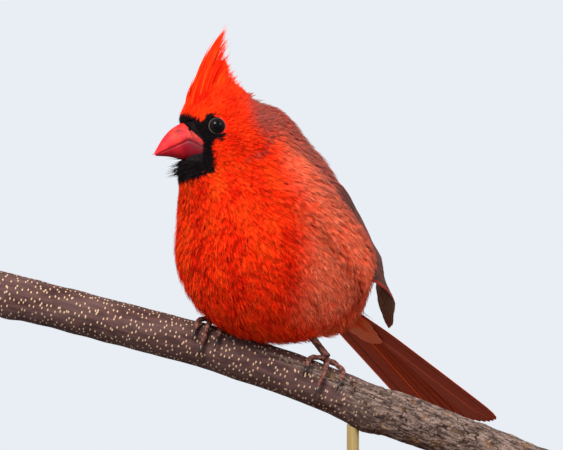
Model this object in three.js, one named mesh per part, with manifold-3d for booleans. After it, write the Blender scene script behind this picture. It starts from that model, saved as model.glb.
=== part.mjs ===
// A male northern cardinal, life size, perched on a cut length of branch that a plain display stand holds.
// Millimetres, +Z up. The origin is the centre of the underside of the base.
// The bird is set out in its own frames: f is forward, l is to its left and u is up.
import * as THREE from "three";
import { mergeVertices } from "three/addons/utils/BufferGeometryUtils.js";
import Module from "manifold-3d";

const wasm = await Module();
wasm.setup();

// Gaps and thicknesses
const GAP = 0.32; // clear space that touching nodes keep
const VANE = 0.52; // thickness of a feather's vane

// Where the bird sits and how it is turned
const BODY_CENTRE = [-4.8, 0, 123.5];
const BODY_YAW = 45; // heading, in degrees from -Y towards -X
const HEAD_YAW = 72; // the head is turned to the bird's right
const HEAD_IN_BODY = [29, -3, 54];

// Flesh, as ellipsoids that melt into each other: centre, radii, pitch in degrees, blend width
const TRUNK = {
  breast: { c: [9, 0, 4], r: [33, 34, 36], pitch: 20, blend: 10 },
  belly: { c: [-5, 0, -8], r: [32, 33, 28.5], pitch: 6, blend: 10 },
  flanks: { c: [-19, 0, 0], r: [25, 29.5, 22], pitch: 32, blend: 10 },
  mantle: { c: [-4, 0, 25], r: [28, 26.5, 24.5], pitch: 42, blend: 12 },
  rump: { c: [-34, 0, -11], r: [19, 15, 12], pitch: 34, blend: 14 },
  vent: { c: [-34, 0, -21], r: [13, 13, 12], pitch: 34, blend: 8 },
  crop: { c: [21, -2, 24], r: [21, 22, 19], pitch: 0, blend: 10 },
  nape: { c: [10, -1, 44], r: [19, 17.5, 18], pitch: -20, blend: 12 },
};
const HEAD = {
  skull: { c: [-1, 0, 1], r: [16.5, 12.4, 14], pitch: 0, blend: 8 },
  cheek: { c: [-5, 0, -8], r: [15.5, 15, 13], pitch: 0, blend: 8 },
  face: { c: [6.5, 0, -5], r: [9, 8.5, 9], pitch: 0, blend: 5 },
  chin: { c: [7.5, 0, -19], r: [8.5, 9.5, 9], pitch: 0, blend: 7 },
  crown: { c: [-2, 0, 9], r: [14, 9, 10.5], pitch: -35, blend: 7 },
  crest_core: { c: [1, 0, 17.5], r: [5.2, 3.2, 12], pitch: 30, blend: 6 },
};
// Cuts between head, neck and torso, as planes in the head's frame: n . p = d
const NECK_NORMAL = new THREE.Vector3(0.66, 0, 0.75).normalize();
const HEAD_CUT = -8.4;
const TORSO_CUT = -21;

// Eyes and lids
const EYE = { f: 3, u: 0, r: 4, inset: 2.4, lid_r: 3.55, lid_tube: 0.48 };
// Bill outline in the head's side view, as [f, u], from the base to the tip
const CULMEN = [[4, 2.6], [12, 1.9], [16.6, 0.2], [20.8, -2.8], [23.6, -6.2], [26, -10.2], [27.4, -13]];
const TOMIUM = [[4, -6], [12.8, -6.3], [16.1, -7.6], [19.6, -9], [23.4, -10.8], [26.6, -12.3]];
const GONYS = [[4, -13.6], [10, -14.5], [14.1, -14.2], [20.8, -13], [26, -12.7]];
const BILL_HALF_WIDTH = [[4, 7], [10, 6.5], [14, 5.6], [18, 4.4], [22, 3], [25, 1.6], [27.4, 0.35]];
const NOSTRIL = { f: 17.2, u: -2.6, l: 3.6, r: 0.75 };

// Crest: from the forehead (t = 0) to the back of the crown (t = 1)
const CREST = {
  rows: 8, root_f: [11.5, -13], root_u: [8, 15, 11.5], length: [37, 9.5], lean: [27, 74],
  side_l: 4.4, side_share: 0.78, width: 3.6, sunk: 4,
};

// Wings: the wrist, and the way the folded wing runs in the bird's side view
const WRIST = { f: 10, u: 31 };
const WING_PITCH = 41.5; // degrees below level, towards the tail
const WING_TIP_A = 94;
// The wing where the body doesn't carry it, as [a, value] with a from the wrist: its distance from the
// midline, the angle by which it turns to lie flat over the rump, and the place across it that it turns about
const WING_FREE_L = [[0, 13], [30, 15], [48, 19], [62, 26], [73, 20.5], [84, 14.5], [94, 10.5]];
const WING_TWIST = [[35, 0], [60, 40], [75, 70], [94, 84]];
const WING_MIDDLE = [[60, 3], [75, 2], [94, -1]];
const WING_CORE = { from: -3, to: 50, thick: 0.9, lift: 0.75 };
const SHINGLE = 0.12; // tilt of each wing feather over the next, in radians
const LIFT = 1.5; // height of the lowest wing feathers over the body
const ROOT_LIFT = 1.3; // height of their roots, inside the wing's core

// Tail: from the pygostyle to the tips
const TAIL = {
  f: -36, u: -17.8, pitch: 32, length: 102, pairs: 6, fan: 1.6, spacing: 1.1, step_down: 0.62, width: 13,
};

// Legs and feet
const THIGH_R = [2.1, 2.6, 4.4, 6.4, 7.6]; // from the ankle to the hip
const TARSUS_R = 1.25;
const SCUTES = 6; // rings of scales on each tarsus
const SOLE_R = 2.1;
const TOE_R = 1.15;
const FEET = {
  right: { x: -33, ankle: [-32, 3.4, 100.5], hip: [4, 6, 17], toes: { inner: -4.5, middle: -0.4, outer: 4.8 } },
  left: { x: 15, ankle: [12.4, 3.4, 89.5], hip: [-1, 4, 17], toes: { inner: -6.6, middle: 0.6, outer: 7.6 } },
};

// Perch: the middle line of the branch as [x, z], its radius and its bark knots
const PERCH_Y = 0;
const PERCH_LINE = [
  [-121, 108.5], [-73, 96], [-33, 85.6], [6, 72.5], [38, 59.4], [61, 51.4], [94, 38.6], [114, 30.2],
];
const PERCH_R = [9.4, 10];
const KNOTS = [
  { x: -114, angle: 160, size: 1.6, spread: 4 },
  { x: 37, angle: 175, size: 1.5, spread: 5 },
  { x: 52, angle: 20, size: 0.8, spread: 6 },
  { x: -14, angle: 70, size: 0.6, spread: 8 },
];
// Display stand
const BASE = { width: 200, depth: 140, height: 12, corner: 14, bevel: 1.5 };
const RODS = [{ x: 30, r: 2.6 }, { x: 79, r: 2.6 }];
const COLLAR = { r: 6, height: 3 };

const rad = THREE.MathUtils.degToRad;
const vec = (a) => new THREE.Vector3(...a);
const lerp = THREE.MathUtils.lerp;

// A frame of f, l and u at a heading; maps [f, l, u] to the world and back.
function frameAt(yaw, origin) {
  const f = new THREE.Vector3(-Math.sin(rad(yaw)), -Math.cos(rad(yaw)), 0);
  const l = new THREE.Vector3(-f.y, f.x, 0);
  const u = new THREE.Vector3(0, 0, 1);
  return {
    toWorld: ([a, b, c]) => origin.clone().addScaledVector(f, a).addScaledVector(l, b).addScaledVector(u, c),
    turn: ([a, b, c]) => new THREE.Vector3().addScaledVector(f, a).addScaledVector(l, b).addScaledVector(u, c),
    toLocal: (p) => {
      const d = p.clone().sub(origin);
      return [d.dot(f), d.dot(l), d.dot(u)];
    },
  };
}
const body = frameAt(BODY_YAW, vec(BODY_CENTRE));
const head = frameAt(HEAD_YAW, body.toWorld(HEAD_IN_BODY));

// Distance fields
function ellipsoid([f, l, u], { c, r, pitch }) {
  const cos = Math.cos(rad(pitch));
  const sin = Math.sin(rad(pitch));
  const [df, dl, du] = [f - c[0], l - c[1], u - c[2]];
  const e = [df * cos + du * sin, dl, du * cos - df * sin];
  const k0 = Math.hypot(e[0] / r[0], e[1] / r[1], e[2] / r[2]);
  const k1 = Math.hypot(e[0] / r[0] ** 2, e[1] / r[1] ** 2, e[2] / r[2] ** 2) + 1e-9;
  return (k0 * (k0 - 1)) / k1;
}

function melt(a, b, k) {
  const h = THREE.MathUtils.clamp(0.5 + (0.5 * (a - b)) / k, 0, 1);
  return a * (1 - h) + b * h - k * h * (1 - h);
}

function blobs(local, set, start) {
  let d = start;
  for (const blob of Object.values(set)) {
    const e = ellipsoid(local, blob);
    d = d === undefined ? e : melt(d, e, blob.blend);
  }
  return d;
}

const flesh = (p) => blobs(head.toLocal(p), HEAD, blobs(body.toLocal(p), TRUNK));
const trunk = (p) => blobs(body.toLocal(p), TRUNK);

function gradient(field, p, h = 0.05) {
  const g = new THREE.Vector3();
  for (const axis of ["x", "y", "z"]) {
    const a = p.clone();
    const b = p.clone();
    a[axis] += h;
    b[axis] -= h;
    g[axis] = (field(a) - field(b)) / (2 * h);
  }
  return g;
}

// The closed surface field = level inside a box, by surface nets on a grid, then moved onto the surface.
function netted(field, level, low, high, step) {
  const n = low.map((v, i) => Math.ceil((high[i] - v) / step) + 1);
  const at = (i, j, k) => (k * n[1] + j) * n[0] + i;
  const values = new Float64Array(n[0] * n[1] * n[2]);
  for (let k = 0; k < n[2]; k++)
    for (let j = 0; j < n[1]; j++)
      for (let i = 0; i < n[0]; i++) {
        const p = new THREE.Vector3(low[0] + i * step, low[1] + j * step, low[2] + k * step);
        values[at(i, j, k)] = field(p) - level;
      }
  const corners = [0, 1, 2, 3, 4, 5, 6, 7].map((c) => [c & 1, (c >> 1) & 1, (c >> 2) & 1]);
  const points = [];
  const cellVertex = new Map();
  for (let k = 0; k < n[2] - 1; k++)
    for (let j = 0; j < n[1] - 1; j++)
      for (let i = 0; i < n[0] - 1; i++) {
        const v = corners.map(([a, b, c]) => values[at(i + a, j + b, k + c)]);
        const inside = v.filter((x) => x < 0).length;
        if (inside === 0 || inside === 8) continue;
        const sum = new THREE.Vector3();
        let crossings = 0;
        for (let a = 0; a < 8; a++)
          for (const bit of [1, 2, 4]) {
            const b = a | bit;
            if (b === a || v[a] < 0 === v[b] < 0) continue;
            const t = v[a] / (v[a] - v[b]);
            sum.add(vec(corners[a]).lerp(vec(corners[b]), t));
            crossings++;
          }
        const p = sum.divideScalar(crossings).add(vec([i, j, k])).multiplyScalar(step).add(vec(low));
        for (let pass = 0; pass < 3; pass++) {
          const g = gradient(field, p);
          p.addScaledVector(g, -(field(p) - level) / g.lengthSq());
        }
        cellVertex.set(at(i, j, k), points.length);
        points.push(p);
      }
  const index = [];
  const stride = [1, n[0], n[0] * n[1]];
  for (let k = 1; k < n[2] - 1; k++)
    for (let j = 1; j < n[1] - 1; j++)
      for (let i = 1; i < n[0] - 1; i++)
        for (let axis = 0; axis < 3; axis++) {
          const here = at(i, j, k);
          const a = values[here] < 0;
          if (a === values[here + stride[axis]] < 0) continue;
          const s = stride[(axis + 1) % 3];
          const t = stride[(axis + 2) % 3];
          const quad = [here - s - t, here - t, here, here - s].map((c) => cellVertex.get(c));
          if (!a) quad.reverse();
          index.push(quad[0], quad[1], quad[2], quad[0], quad[2], quad[3]);
        }
  return closed(points, index);
}

// Solids from points and triangles, from three.js geometry, and back
function closed(points, index) {
  return new wasm.Manifold(
    new wasm.Mesh({
      numProp: 3,
      vertProperties: new Float32Array(points.flatMap((p) => p.toArray())),
      triVerts: new Uint32Array(index),
    }),
  );
}

function solidOf(geometry) {
  const bare = geometry.clone();
  bare.deleteAttribute("normal");
  bare.deleteAttribute("uv");
  const merged = mergeVertices(bare, 1e-4);
  return new wasm.Manifold(
    new wasm.Mesh({
      numProp: 3,
      vertProperties: merged.attributes.position.array,
      triVerts: new Uint32Array(merged.index.array),
    }),
  );
}

const largest = (solid) => solid.decompose().sort((a, b) => b.volume() - a.volume())[0];
const fused = (solids) => largest(solids.reduce((all, one) => all.add(one)));

function meshOf(name, solid, material) {
  const { vertProperties, triVerts, numProp, numVert } = solid.getMesh();
  const positions = new Float32Array(numVert * 3);
  for (let i = 0; i < numVert; i++) positions.set(vertProperties.subarray(i * numProp, i * numProp + 3), i * 3);
  const geometry = new THREE.BufferGeometry();
  geometry.setAttribute("position", new THREE.BufferAttribute(positions, 3));
  geometry.setIndex(new THREE.BufferAttribute(triVerts, 1));
  geometry.computeVertexNormals();
  const mesh = new THREE.Mesh(geometry, material);
  mesh.name = name;
  return mesh;
}

// A closed skin over rings of points; sides listed in turned get the other diagonal.
function loft(rings, turned = []) {
  const sides = rings[0].length;
  const points = rings.flat();
  const index = [];
  for (let i = 0; i < rings.length - 1; i++)
    for (let j = 0; j < sides; j++) {
      const a = i * sides + j;
      const b = i * sides + ((j + 1) % sides);
      const [c, d] = [a + sides, b + sides];
      if (turned.includes(j)) index.push(a, b, c, b, d, c);
      else index.push(a, b, d, a, d, c);
    }
  const last = (rings.length - 1) * sides;
  for (let j = 1; j < sides - 1; j++) {
    index.push(0, j + 1, j);
    index.push(last, last + j, last + j + 1);
  }
  const made = closed(points, index);
  if (made.volume() > 0) return made;
  for (let i = 0; i < index.length; i += 3) [index[i + 1], index[i + 2]] = [index[i + 2], index[i + 1]];
  return closed(points, index);
}

// Value of a profile given as rising [x, y] pairs
function along(profile, x) {
  const last = profile.length - 1;
  if (x <= profile[0][0]) return profile[0][1];
  for (let i = 0; i < last; i++) {
    const [[x0, y0], [x1, y1]] = [profile[i], profile[i + 1]];
    if (x <= x1) return lerp(y0, y1, (x - x0) / (x1 - x0));
  }
  return profile[last][1];
}

// A feather: a thin plate whose stations give centre, across and out (unit) and the half widths a and b.
const UNDER_SIDE = [2];
function vane(stations, thick = VANE) {
  const rings = stations.map(({ p, across, out, a, b, thin = 1 }) => {
    const at = (x, z) => p.clone().addScaledVector(across, x).addScaledVector(out, z * thin * thick * 0.5);
    return [at(-a, 1), at(b, 1), at(b, -1), at(-a, -1)];
  });
  return loft(rings, UNDER_SIDE);
}

// Round limb through points with a radius at each
function limb(points, radii, sides) {
  const rings = points.map((p, i) => {
    const before = points[Math.max(0, i - 1)];
    const after = points[Math.min(points.length - 1, i + 1)];
    const way = after.clone().sub(before).normalize();
    const side = new THREE.Vector3(1, 0, 0).addScaledVector(way, -way.x);
    if (side.lengthSq() < 0.05) side.set(0, 1, 0).addScaledVector(way, -way.y);
    side.normalize();
    const other = way.clone().cross(side);
    return Array.from({ length: sides }, (_, j) => {
      const angle = (2 * Math.PI * j) / sides;
      return p
        .clone()
        .addScaledVector(side, Math.cos(angle) * radii[i])
        .addScaledVector(other, Math.sin(angle) * radii[i]);
    });
  });
  return loft(rings);
}

// Perch
const PERCH_ENDS = [PERCH_LINE[0][0], PERCH_LINE[PERCH_LINE.length - 1][0]];
function perchPoint(x) {
  return new THREE.Vector3(x, PERCH_Y, along(PERCH_LINE, x));
}
function perchAxes(x) {
  const way = perchPoint(x + 6).sub(perchPoint(x - 6)).normalize();
  const front = new THREE.Vector3(0, -1, 0);
  return { way, front, up: new THREE.Vector3(-way.z, 0, way.x) };
}
function perchRadius(x, angle = 0) {
  const [first, last] = PERCH_ENDS;
  let r = lerp(PERCH_R[0], PERCH_R[1], (x - first) / (last - first));
  for (const knot of KNOTS) {
    const turn = rad(((angle - knot.angle + 540) % 360) - 180) * r;
    r += knot.size * Math.exp(-((x - knot.x) ** 2 + turn ** 2) / (2 * knot.spread ** 2));
  }
  return r;
}
// A point near the bark: x along the branch, angle from its top towards the front, and height over the bark
function onPerch(x, angle, height) {
  const { front, up } = perchAxes(x);
  const reach = perchRadius(x, angle) + height;
  return perchPoint(x)
    .addScaledVector(up, Math.cos(rad(angle)) * reach)
    .addScaledVector(front, Math.sin(rad(angle)) * reach);
}
function perch(grow = 0, [first, last] = PERCH_ENDS, sides = 13, step = 10.5) {
  const count = Math.round((last - first) / step);
  const rings = Array.from({ length: count + 1 }, (_, i) => {
    const x = lerp(first - grow, last + grow, i / count);
    return Array.from({ length: sides }, (_, j) => onPerch(x, (360 * j) / sides, grow));
  });
  return loft(rings);
}

// Torso, neck and head, parted by thin cuts
function above(d) {
  const size = 400;
  const box = new THREE.BoxGeometry(size, size, size);
  const way = head.turn(NECK_NORMAL.toArray());
  const centre = head.toWorld([0, 0, 0]).addScaledVector(way, d + size / 2);
  box.applyQuaternion(new THREE.Quaternion().setFromUnitVectors(new THREE.Vector3(0, 0, 1), way));
  box.translate(centre.x, centre.y, centre.z);
  return solidOf(box);
}
const BOX = { low: [-62, -62, 66], high: [62, 62, 222] };
const fleshAt = (level, step) => netted(flesh, level, BOX.low, BOX.high, step);

// Eyes
function eyePlace(side) {
  let l = 20;
  while (flesh(head.toWorld([EYE.f, side * l, EYE.u])) > 0) l -= 0.05;
  const centre = head.toWorld([EYE.f, side * (l - EYE.inset), EYE.u]);
  return { centre, out: head.turn([0.12, side, 0.02]).normalize() };
}
function eyeball(side, grow) {
  const { centre } = eyePlace(side);
  const ball = new THREE.SphereGeometry(EYE.r + grow, 14, 9);
  ball.translate(centre.x, centre.y, centre.z);
  return solidOf(ball);
}
function lid(side) {
  const { centre, out } = eyePlace(side);
  const ring = new THREE.TorusGeometry(EYE.lid_r, EYE.lid_tube, 6, 20);
  ring.applyQuaternion(new THREE.Quaternion().setFromUnitVectors(new THREE.Vector3(0, 0, 1), out));
  const at = centre.addScaledVector(out, EYE.inset - 0.1);
  ring.translate(at.x, at.y, at.z);
  return solidOf(ring);
}

// Bill: half arches between the line of the mouth and an outer profile
function mandible(outer, inner, lift, sides = 9, stations = 10) {
  const [from, to] = [outer[0][0], Math.min(outer[outer.length - 1][0], 27.4)];
  const rings = Array.from({ length: stations + 1 }, (_, i) => {
    const f = lerp(from, to, (i / stations) ** 0.85);
    const w = along(BILL_HALF_WIDTH, f) * (lift < 0 ? 1.04 : 1);
    const mouth = along(inner, f) + lift;
    const edge = along(outer, f);
    const tall = lift > 0 ? Math.max(edge - mouth, 0.35) : Math.min(edge - mouth, -0.35);
    return Array.from({ length: sides }, (_, j) => {
      const angle = (Math.PI * j) / (sides - 1);
      return head.toWorld([f, w * Math.cos(angle), mouth + tall * Math.sin(angle) ** 0.8]);
    });
  });
  return loft(rings);
}
function nostrils() {
  return [1, -1].map((side) => {
    const hole = new THREE.SphereGeometry(NOSTRIL.r, 8, 6);
    const at = head.toWorld([NOSTRIL.f, side * NOSTRIL.l, NOSTRIL.u]);
    hole.translate(at.x, at.y, at.z);
    return solidOf(hole);
  });
}

// Crest feathers
function crestFeather(t, side) {
  const root_f = lerp(CREST.root_f[0], CREST.root_f[1], t);
  const [front_u, top_u, back_u] = CREST.root_u;
  const u = along([[0, front_u], [0.45, top_u], [1, back_u]], t) - Math.abs(side) * 2.2;
  const lean = rad(lerp(CREST.lean[0], CREST.lean[1], t ** 1.2));
  const share = side ? CREST.side_share : 1;
  const length = lerp(CREST.length[0], CREST.length[1], t ** 0.75) * share + CREST.sunk;
  const way = [-Math.sin(lean), 0, Math.cos(lean)];
  const segments = 4;
  const stations = Array.from({ length: segments + 1 }, (_, i) => {
    const s = i / segments;
    const d = s * length - CREST.sunk;
    const bow = 2.4 * Math.sin(Math.PI * s) * (1 - t * 0.6);
    const l = side * CREST.side_l * (1 - 0.8 * s) + 0.25 * side;
    const half = (CREST.width / 2) * Math.sin(Math.PI * Math.min(0.98, 0.25 + 0.72 * s)) ** 0.8;
    return {
      p: head.toWorld([root_f + way[0] * d + bow * 0.5, l, u + way[2] * d + bow * 0.35]),
      across: head.turn([way[2], 0, -way[0]]),
      out: head.turn([0, side || 1, 0]),
      a: half,
      b: half,
      thin: s > 0.9 ? 0.7 : 1,
    };
  });
  return vane(stations, 0.8);
}
function crest() {
  const feathers = [];
  for (let i = 0; i < CREST.rows; i++) {
    const t = i / (CREST.rows - 1);
    feathers.push(crestFeather(t, 0));
    if (i > 0) for (const side of [1, -1]) feathers.push(crestFeather(t - 0.06, side));
  }
  return feathers;
}

// Wings: a is the distance from the wrist along the folded wing, b that across it, up towards the back
const WING_WAY = [-Math.cos(rad(WING_PITCH)), -Math.sin(rad(WING_PITCH))];
const WING_UP = [WING_WAY[1], -WING_WAY[0]];
function wingPlan(a, b) {
  return [WRIST.f + a * WING_WAY[0] + b * WING_UP[0], WRIST.u + a * WING_WAY[1] + b * WING_UP[1]];
}
// How far from the midline the wing lies: on the body's side, or free of it
function wingReach(f, u, free) {
  let [low, high] = [0, 48];
  if (trunk(body.toWorld([f, low, u])) > 0) return free;
  for (let i = 0; i < 22; i++) {
    const mid = (low + high) / 2;
    if (trunk(body.toWorld([f, mid, u])) < 0) low = mid;
    else high = mid;
  }
  return -melt(-low, -free, 5);
}
function wingSheet(a, b, side) {
  const twist = rad(along(WING_TWIST, a));
  const middle = along(WING_MIDDLE, a);
  const [f, u] = wingPlan(a, middle + (b - middle) * Math.cos(twist));
  const free = along(WING_FREE_L, a) - (b - middle) * Math.sin(twist);
  return body.toWorld([f, side * wingReach(f, u, free), u]);
}
function wingNormal(a, b, side) {
  const h = 1.5;
  const lengthwise = wingSheet(a + h, b, side).sub(wingSheet(a - h, b, side));
  const crosswise = wingSheet(a, b + h, side).sub(wingSheet(a, b - h, side));
  return lengthwise.cross(crosswise).multiplyScalar(side).normalize();
}
function onWing(a, b, height, side) {
  const p = wingSheet(a, b, side).addScaledVector(wingNormal(a, b, side), height);
  for (let i = 0; i < 4; i++) {
    const clear = flesh(p);
    if (clear >= height) break;
    const g = gradient(flesh, p);
    p.addScaledVector(g, (height - clear) / g.lengthSq());
  }
  return p;
}
// A wing feather from root [a, b] to tip [a, b], its half widths and its height over the body.
// Each is tilted so that the edge towards the belly tucks under the feather before it.
function wingFeather(side, root, tip, half, height, { rise = 0, segments = 4, blunt = 0.55, slip = 0 } = {}) {
  const stations = Array.from({ length: segments + 1 }, (_, i) => {
    const s = i / segments;
    const a = lerp(root[0], tip[0], s);
    const b = lerp(root[1], tip[1], s) + slip * Math.sin(Math.PI * s);
    const lift = lerp(ROOT_LIFT, height, Math.min(1, s * 3)) + rise * s;
    const p = onWing(a, b, lift, side);
    const slope = (tip[1] - root[1]) / (tip[0] - root[0]);
    const ahead = onWing(a + 2, b + slope * 2, lift, side).sub(p);
    const flat = wingNormal(a, b, side);
    const wide = flat.clone().cross(ahead).normalize().multiplyScalar(side);
    const across = wide.clone().multiplyScalar(Math.cos(SHINGLE)).addScaledVector(flat, Math.sin(SHINGLE));
    const out = flat.clone().multiplyScalar(Math.cos(SHINGLE)).addScaledVector(wide, -Math.sin(SHINGLE));
    const full = Math.min(1, 0.55 + 1.3 * s) * Math.min(1, ((1 - s) / (1 - blunt)) ** 0.5 + 0.12);
    return { p, across, out, a: half[0] * full, b: half[1] * full };
  });
  return vane(stations);
}
function row(count, make) {
  return Array.from({ length: count }, (_, i) => make(i, count > 1 ? i / (count - 1) : 0));
}
function wingBlade(side, to, upper, lower, thickness) {
  const stations = 8;
  const across = 4;
  const rings = Array.from({ length: stations }, (_, i) => {
    const s = i / (stations - 1);
    const a = lerp(WING_CORE.from, to, s);
    const inner = [];
    const outer = [];
    for (let j = 0; j <= across; j++) {
      const b = lerp(along(lower, s), along(upper, s), j / across);
      const thick = 0.5 + thickness * Math.sin((Math.PI * j) / across) ** 0.6 * (1 - 0.5 * s);
      inner.push(onWing(a, b, WING_CORE.lift, side));
      outer.push(onWing(a, b, WING_CORE.lift + thick, side));
    }
    return [...inner, ...outer.reverse()];
  });
  return loft(rings);
}
function wing(side) {
  const make = (...args) => wingFeather(side, ...args);
  const primaries = row(5, (i, t) => {
    const reach = lerp(68, WING_TIP_A, Math.min(1, t * 1.35)) - Math.max(0, t - 0.8) * 40;
    return make([34 - 4 * t, 2 - 6 * t], [reach, 4.5 - 8 * t], [4.1, 4.3], LIFT, { segments: 5 });
  });
  const secondaries = row(3, (i, t) =>
    make([27 + 5 * t, 5 + 3.5 * t], [66 - 3 * t, 6 + 4.5 * t], [4.6, 4.8], LIFT + 0.6 + 0.3 * t,
      { segments: 3 }));
  const tertials = row(2, (i, t) =>
    make([27, 9.5 + 3 * t], [66 - 13 * t, 9.5 + 3 * t], [4.8, 4.4], LIFT + 1.1 + 0.2 * t, { segments: 3 }));
  const alula = make([4, -6.5], [30, -8], [3, 3], LIFT + 0.3, { segments: 2 });
  const coverts = (count, root, tip, half, height) =>
    row(count, (i, t) =>
      make([root[0] + root[2] * t, lerp(-5.5, root[1], t)], [tip[0] + tip[2] * t, lerp(-6, tip[1], t)],
        [half, half], height, { segments: 2, blunt: 0.5 }));
  return fused([wingCore(side), ...primaries, ...secondaries, ...tertials, alula,
    ...coverts(4, [13, 9, 8], [33, 9, 13], 4.2, LIFT + 1.2),
    ...coverts(3, [5, 7, 8], [23, 7.5, 11], 5, LIFT + 1.7),
    ...coverts(2, [-1, 4, 5], [12, 5, 7], 5.6, LIFT + 2.1)]);
}
// The flesh of the folded wing, which reaches half way to the tips
function wingCore(side) {
  const upper = [[0, 3], [0.12, 7.5], [0.4, 11.5], [0.75, 11], [1, 6]];
  const lower = [[0, -4], [0.12, -8], [0.4, -9.5], [0.75, -7.5], [1, -4]];
  return wingBlade(side, WING_CORE.to, upper, lower, WING_CORE.thick);
}

// Tail: six pairs of tail feathers, the middle pair on top, with coverts over and under the root
function tailFeather(rank, side, { length, width, from, down, fan, segments = 5 }) {
  const pitch = rad(TAIL.pitch);
  const spread = rad(fan * (rank + 0.5) * side);
  const stations = Array.from({ length: segments + 1 }, (_, i) => {
    const s = i / segments;
    const d = from + s * length;
    const l = side * (0.9 + rank * TAIL.spacing) + d * Math.sin(spread);
    const droop = down + 0.9 * (s * 2 - 1) ** 2 * 0.3;
    const full = Math.min(1, 0.5 + 1.1 * s) * (s > 0.85 ? 0.55 : 1);
    const skew = side * 0.12 * width;
    return {
      p: body.toWorld([
        TAIL.f - d * Math.cos(pitch) * Math.cos(spread) - droop * Math.sin(pitch),
        l,
        TAIL.u - d * Math.sin(pitch) * Math.cos(spread) - droop * Math.cos(pitch) - Math.abs(l) * 0.07,
      ]),
      across: body.turn([Math.sin(spread) * Math.cos(pitch), 1, 0]).normalize(),
      out: body.turn([-Math.sin(pitch), side * 0.07, Math.cos(pitch)]).normalize(),
      a: (width / 2) * full + skew,
      b: (width / 2) * full - skew,
    };
  });
  return vane(stations);
}
function tail() {
  const feathers = [];
  for (let rank = 0; rank < TAIL.pairs; rank++)
    for (const side of [1, -1]) {
      const down = rank * TAIL.step_down + (side > 0 ? 0 : 0.3);
      const length = TAIL.length - 0.6 * rank ** 1.6;
      feathers.push(tailFeather(rank, side, { length, width: TAIL.width, from: 0, down, fan: TAIL.fan }));
    }
  for (let rank = 0; rank < 3; rank++)
    for (const side of [1, -1]) {
      const down = TAIL.pairs * TAIL.step_down + 1.1 - 0.45 * rank;
      const under = { length: 30 - 5 * rank, width: 9, from: -1, down, fan: 5, segments: 2 };
      feathers.push(tailFeather(rank, side, under));
      const up = -0.7 + 0.15 * rank;
      const over = { length: 21 - 3 * rank, width: 8, from: -1, down: up, fan: 5, segments: 2 };
      feathers.push(tailFeather(rank, side, over));
    }
  return fused([...feathers, tailRoot()]);
}
// The flesh that the tail feathers are set in
function tailRoot() {
  const pitch = rad(TAIL.pitch);
  const points = [-3, 2, 7, 11].map((d) =>
    body.toWorld([TAIL.f - d * Math.cos(pitch) - 1.6, 0, TAIL.u - d * Math.sin(pitch) - 1.6]));
  return limb(points, [5, 4.6, 3.4, 1.6], 10);
}

// Legs: a feathered thigh, a scaled tarsus, and toes that close round the perch
const soleAt = (foot) => onPerch(foot.x, 5, SOLE_R + GAP + 0.1);
const shinWay = (foot) => vec(foot.ankle).sub(soleAt(foot)).normalize();
function thigh(foot, grow = 0) {
  const ankle = vec(foot.ankle);
  const hip = ankle.clone().add(vec(foot.hip));
  const knee = ankle.clone().addScaledVector(shinWay(foot), 1.5);
  const start = ankle.clone().addScaledVector(shinWay(foot), -grow);
  const points = [start, knee, ...[0.3, 0.65, 1].map((s) => knee.clone().lerp(hip, s))];
  return limb(points, THIGH_R.map((r) => r + grow), 12);
}
function tarsus(foot) {
  const bottom = soleAt(foot).addScaledVector(shinWay(foot), SOLE_R + GAP + 0.08);
  const top = vec(foot.ankle).addScaledVector(shinWay(foot), -GAP);
  const points = [];
  const radii = [];
  for (let i = 0; i < SCUTES; i++)
    for (const [s, swell] of [[i ? 0.08 : 0, 1.06], [i < SCUTES - 1 ? 0.85 : 1, 0.92]]) {
      points.push(bottom.clone().lerp(top, (i + s) / SCUTES));
      radii.push(TARSUS_R * swell * (1 + 0.35 * Math.abs((i + 0.5) / SCUTES - 0.45)));
    }
  return limb(points, radii, 7);
}
// A toe's way over the bark: from the sole, spread along the branch and wrapped round it
function toePath(foot, spread, from, to) {
  return (s) => {
    const x = foot.x + spread * Math.min(1, s * 1.7) ** 0.8;
    const arch = 0.9 * Math.sin(Math.PI * Math.min(1, s * 1.15)) + 0.5 * Math.abs(Math.sin(3 * Math.PI * s));
    return onPerch(x, lerp(from, to, s), TOE_R + GAP + arch * 0.7);
  };
}
function toe(path) {
  const steps = 7;
  const points = Array.from({ length: steps + 1 }, (_, i) => path(i / steps));
  const radii = points.map((_, i) => TOE_R * (1.08 - 0.3 * (i / steps)) * (i % 3 === 1 ? 1.1 : 0.95));
  return limb(points, radii, 6);
}
function claw(foot, spread, to, length) {
  const x = foot.x + spread;
  const reach = (length / (PERCH_R[0] + 1)) * (180 / Math.PI) * Math.sign(to);
  const steps = 4;
  const points = Array.from({ length: steps + 1 }, (_, i) => {
    const s = i / steps;
    const height = 0.32 + GAP + 0.9 * (1 - s) + 1.5 * Math.sin(Math.PI * s);
    return onPerch(x, to + Math.sign(to) * 2.6 + reach * s, height);
  });
  const radii = points.map((_, i) => lerp(0.78, 0.3, i / steps));
  return limb(points, radii, 6);
}
function digits(foot) {
  const { inner, middle, outer } = foot.toes;
  return {
    inner: { spread: inner, from: 2, to: 60, claw: 4.6 },
    middle: { spread: middle, from: 4, to: 92, claw: 5.2 },
    outer: { spread: outer, from: 2, to: 62, claw: 4.6 },
    hind: { spread: 0, from: -4, to: -66, claw: 6.4 },
  };
}
function toes(foot) {
  const sole = new THREE.SphereGeometry(SOLE_R, 10, 8);
  const at = soleAt(foot);
  sole.translate(at.x, at.y, at.z);
  const made = Object.values(digits(foot)).map((d) => toe(toePath(foot, d.spread, d.from, d.to)));
  return fused([solidOf(sole), ...made]);
}

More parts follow.
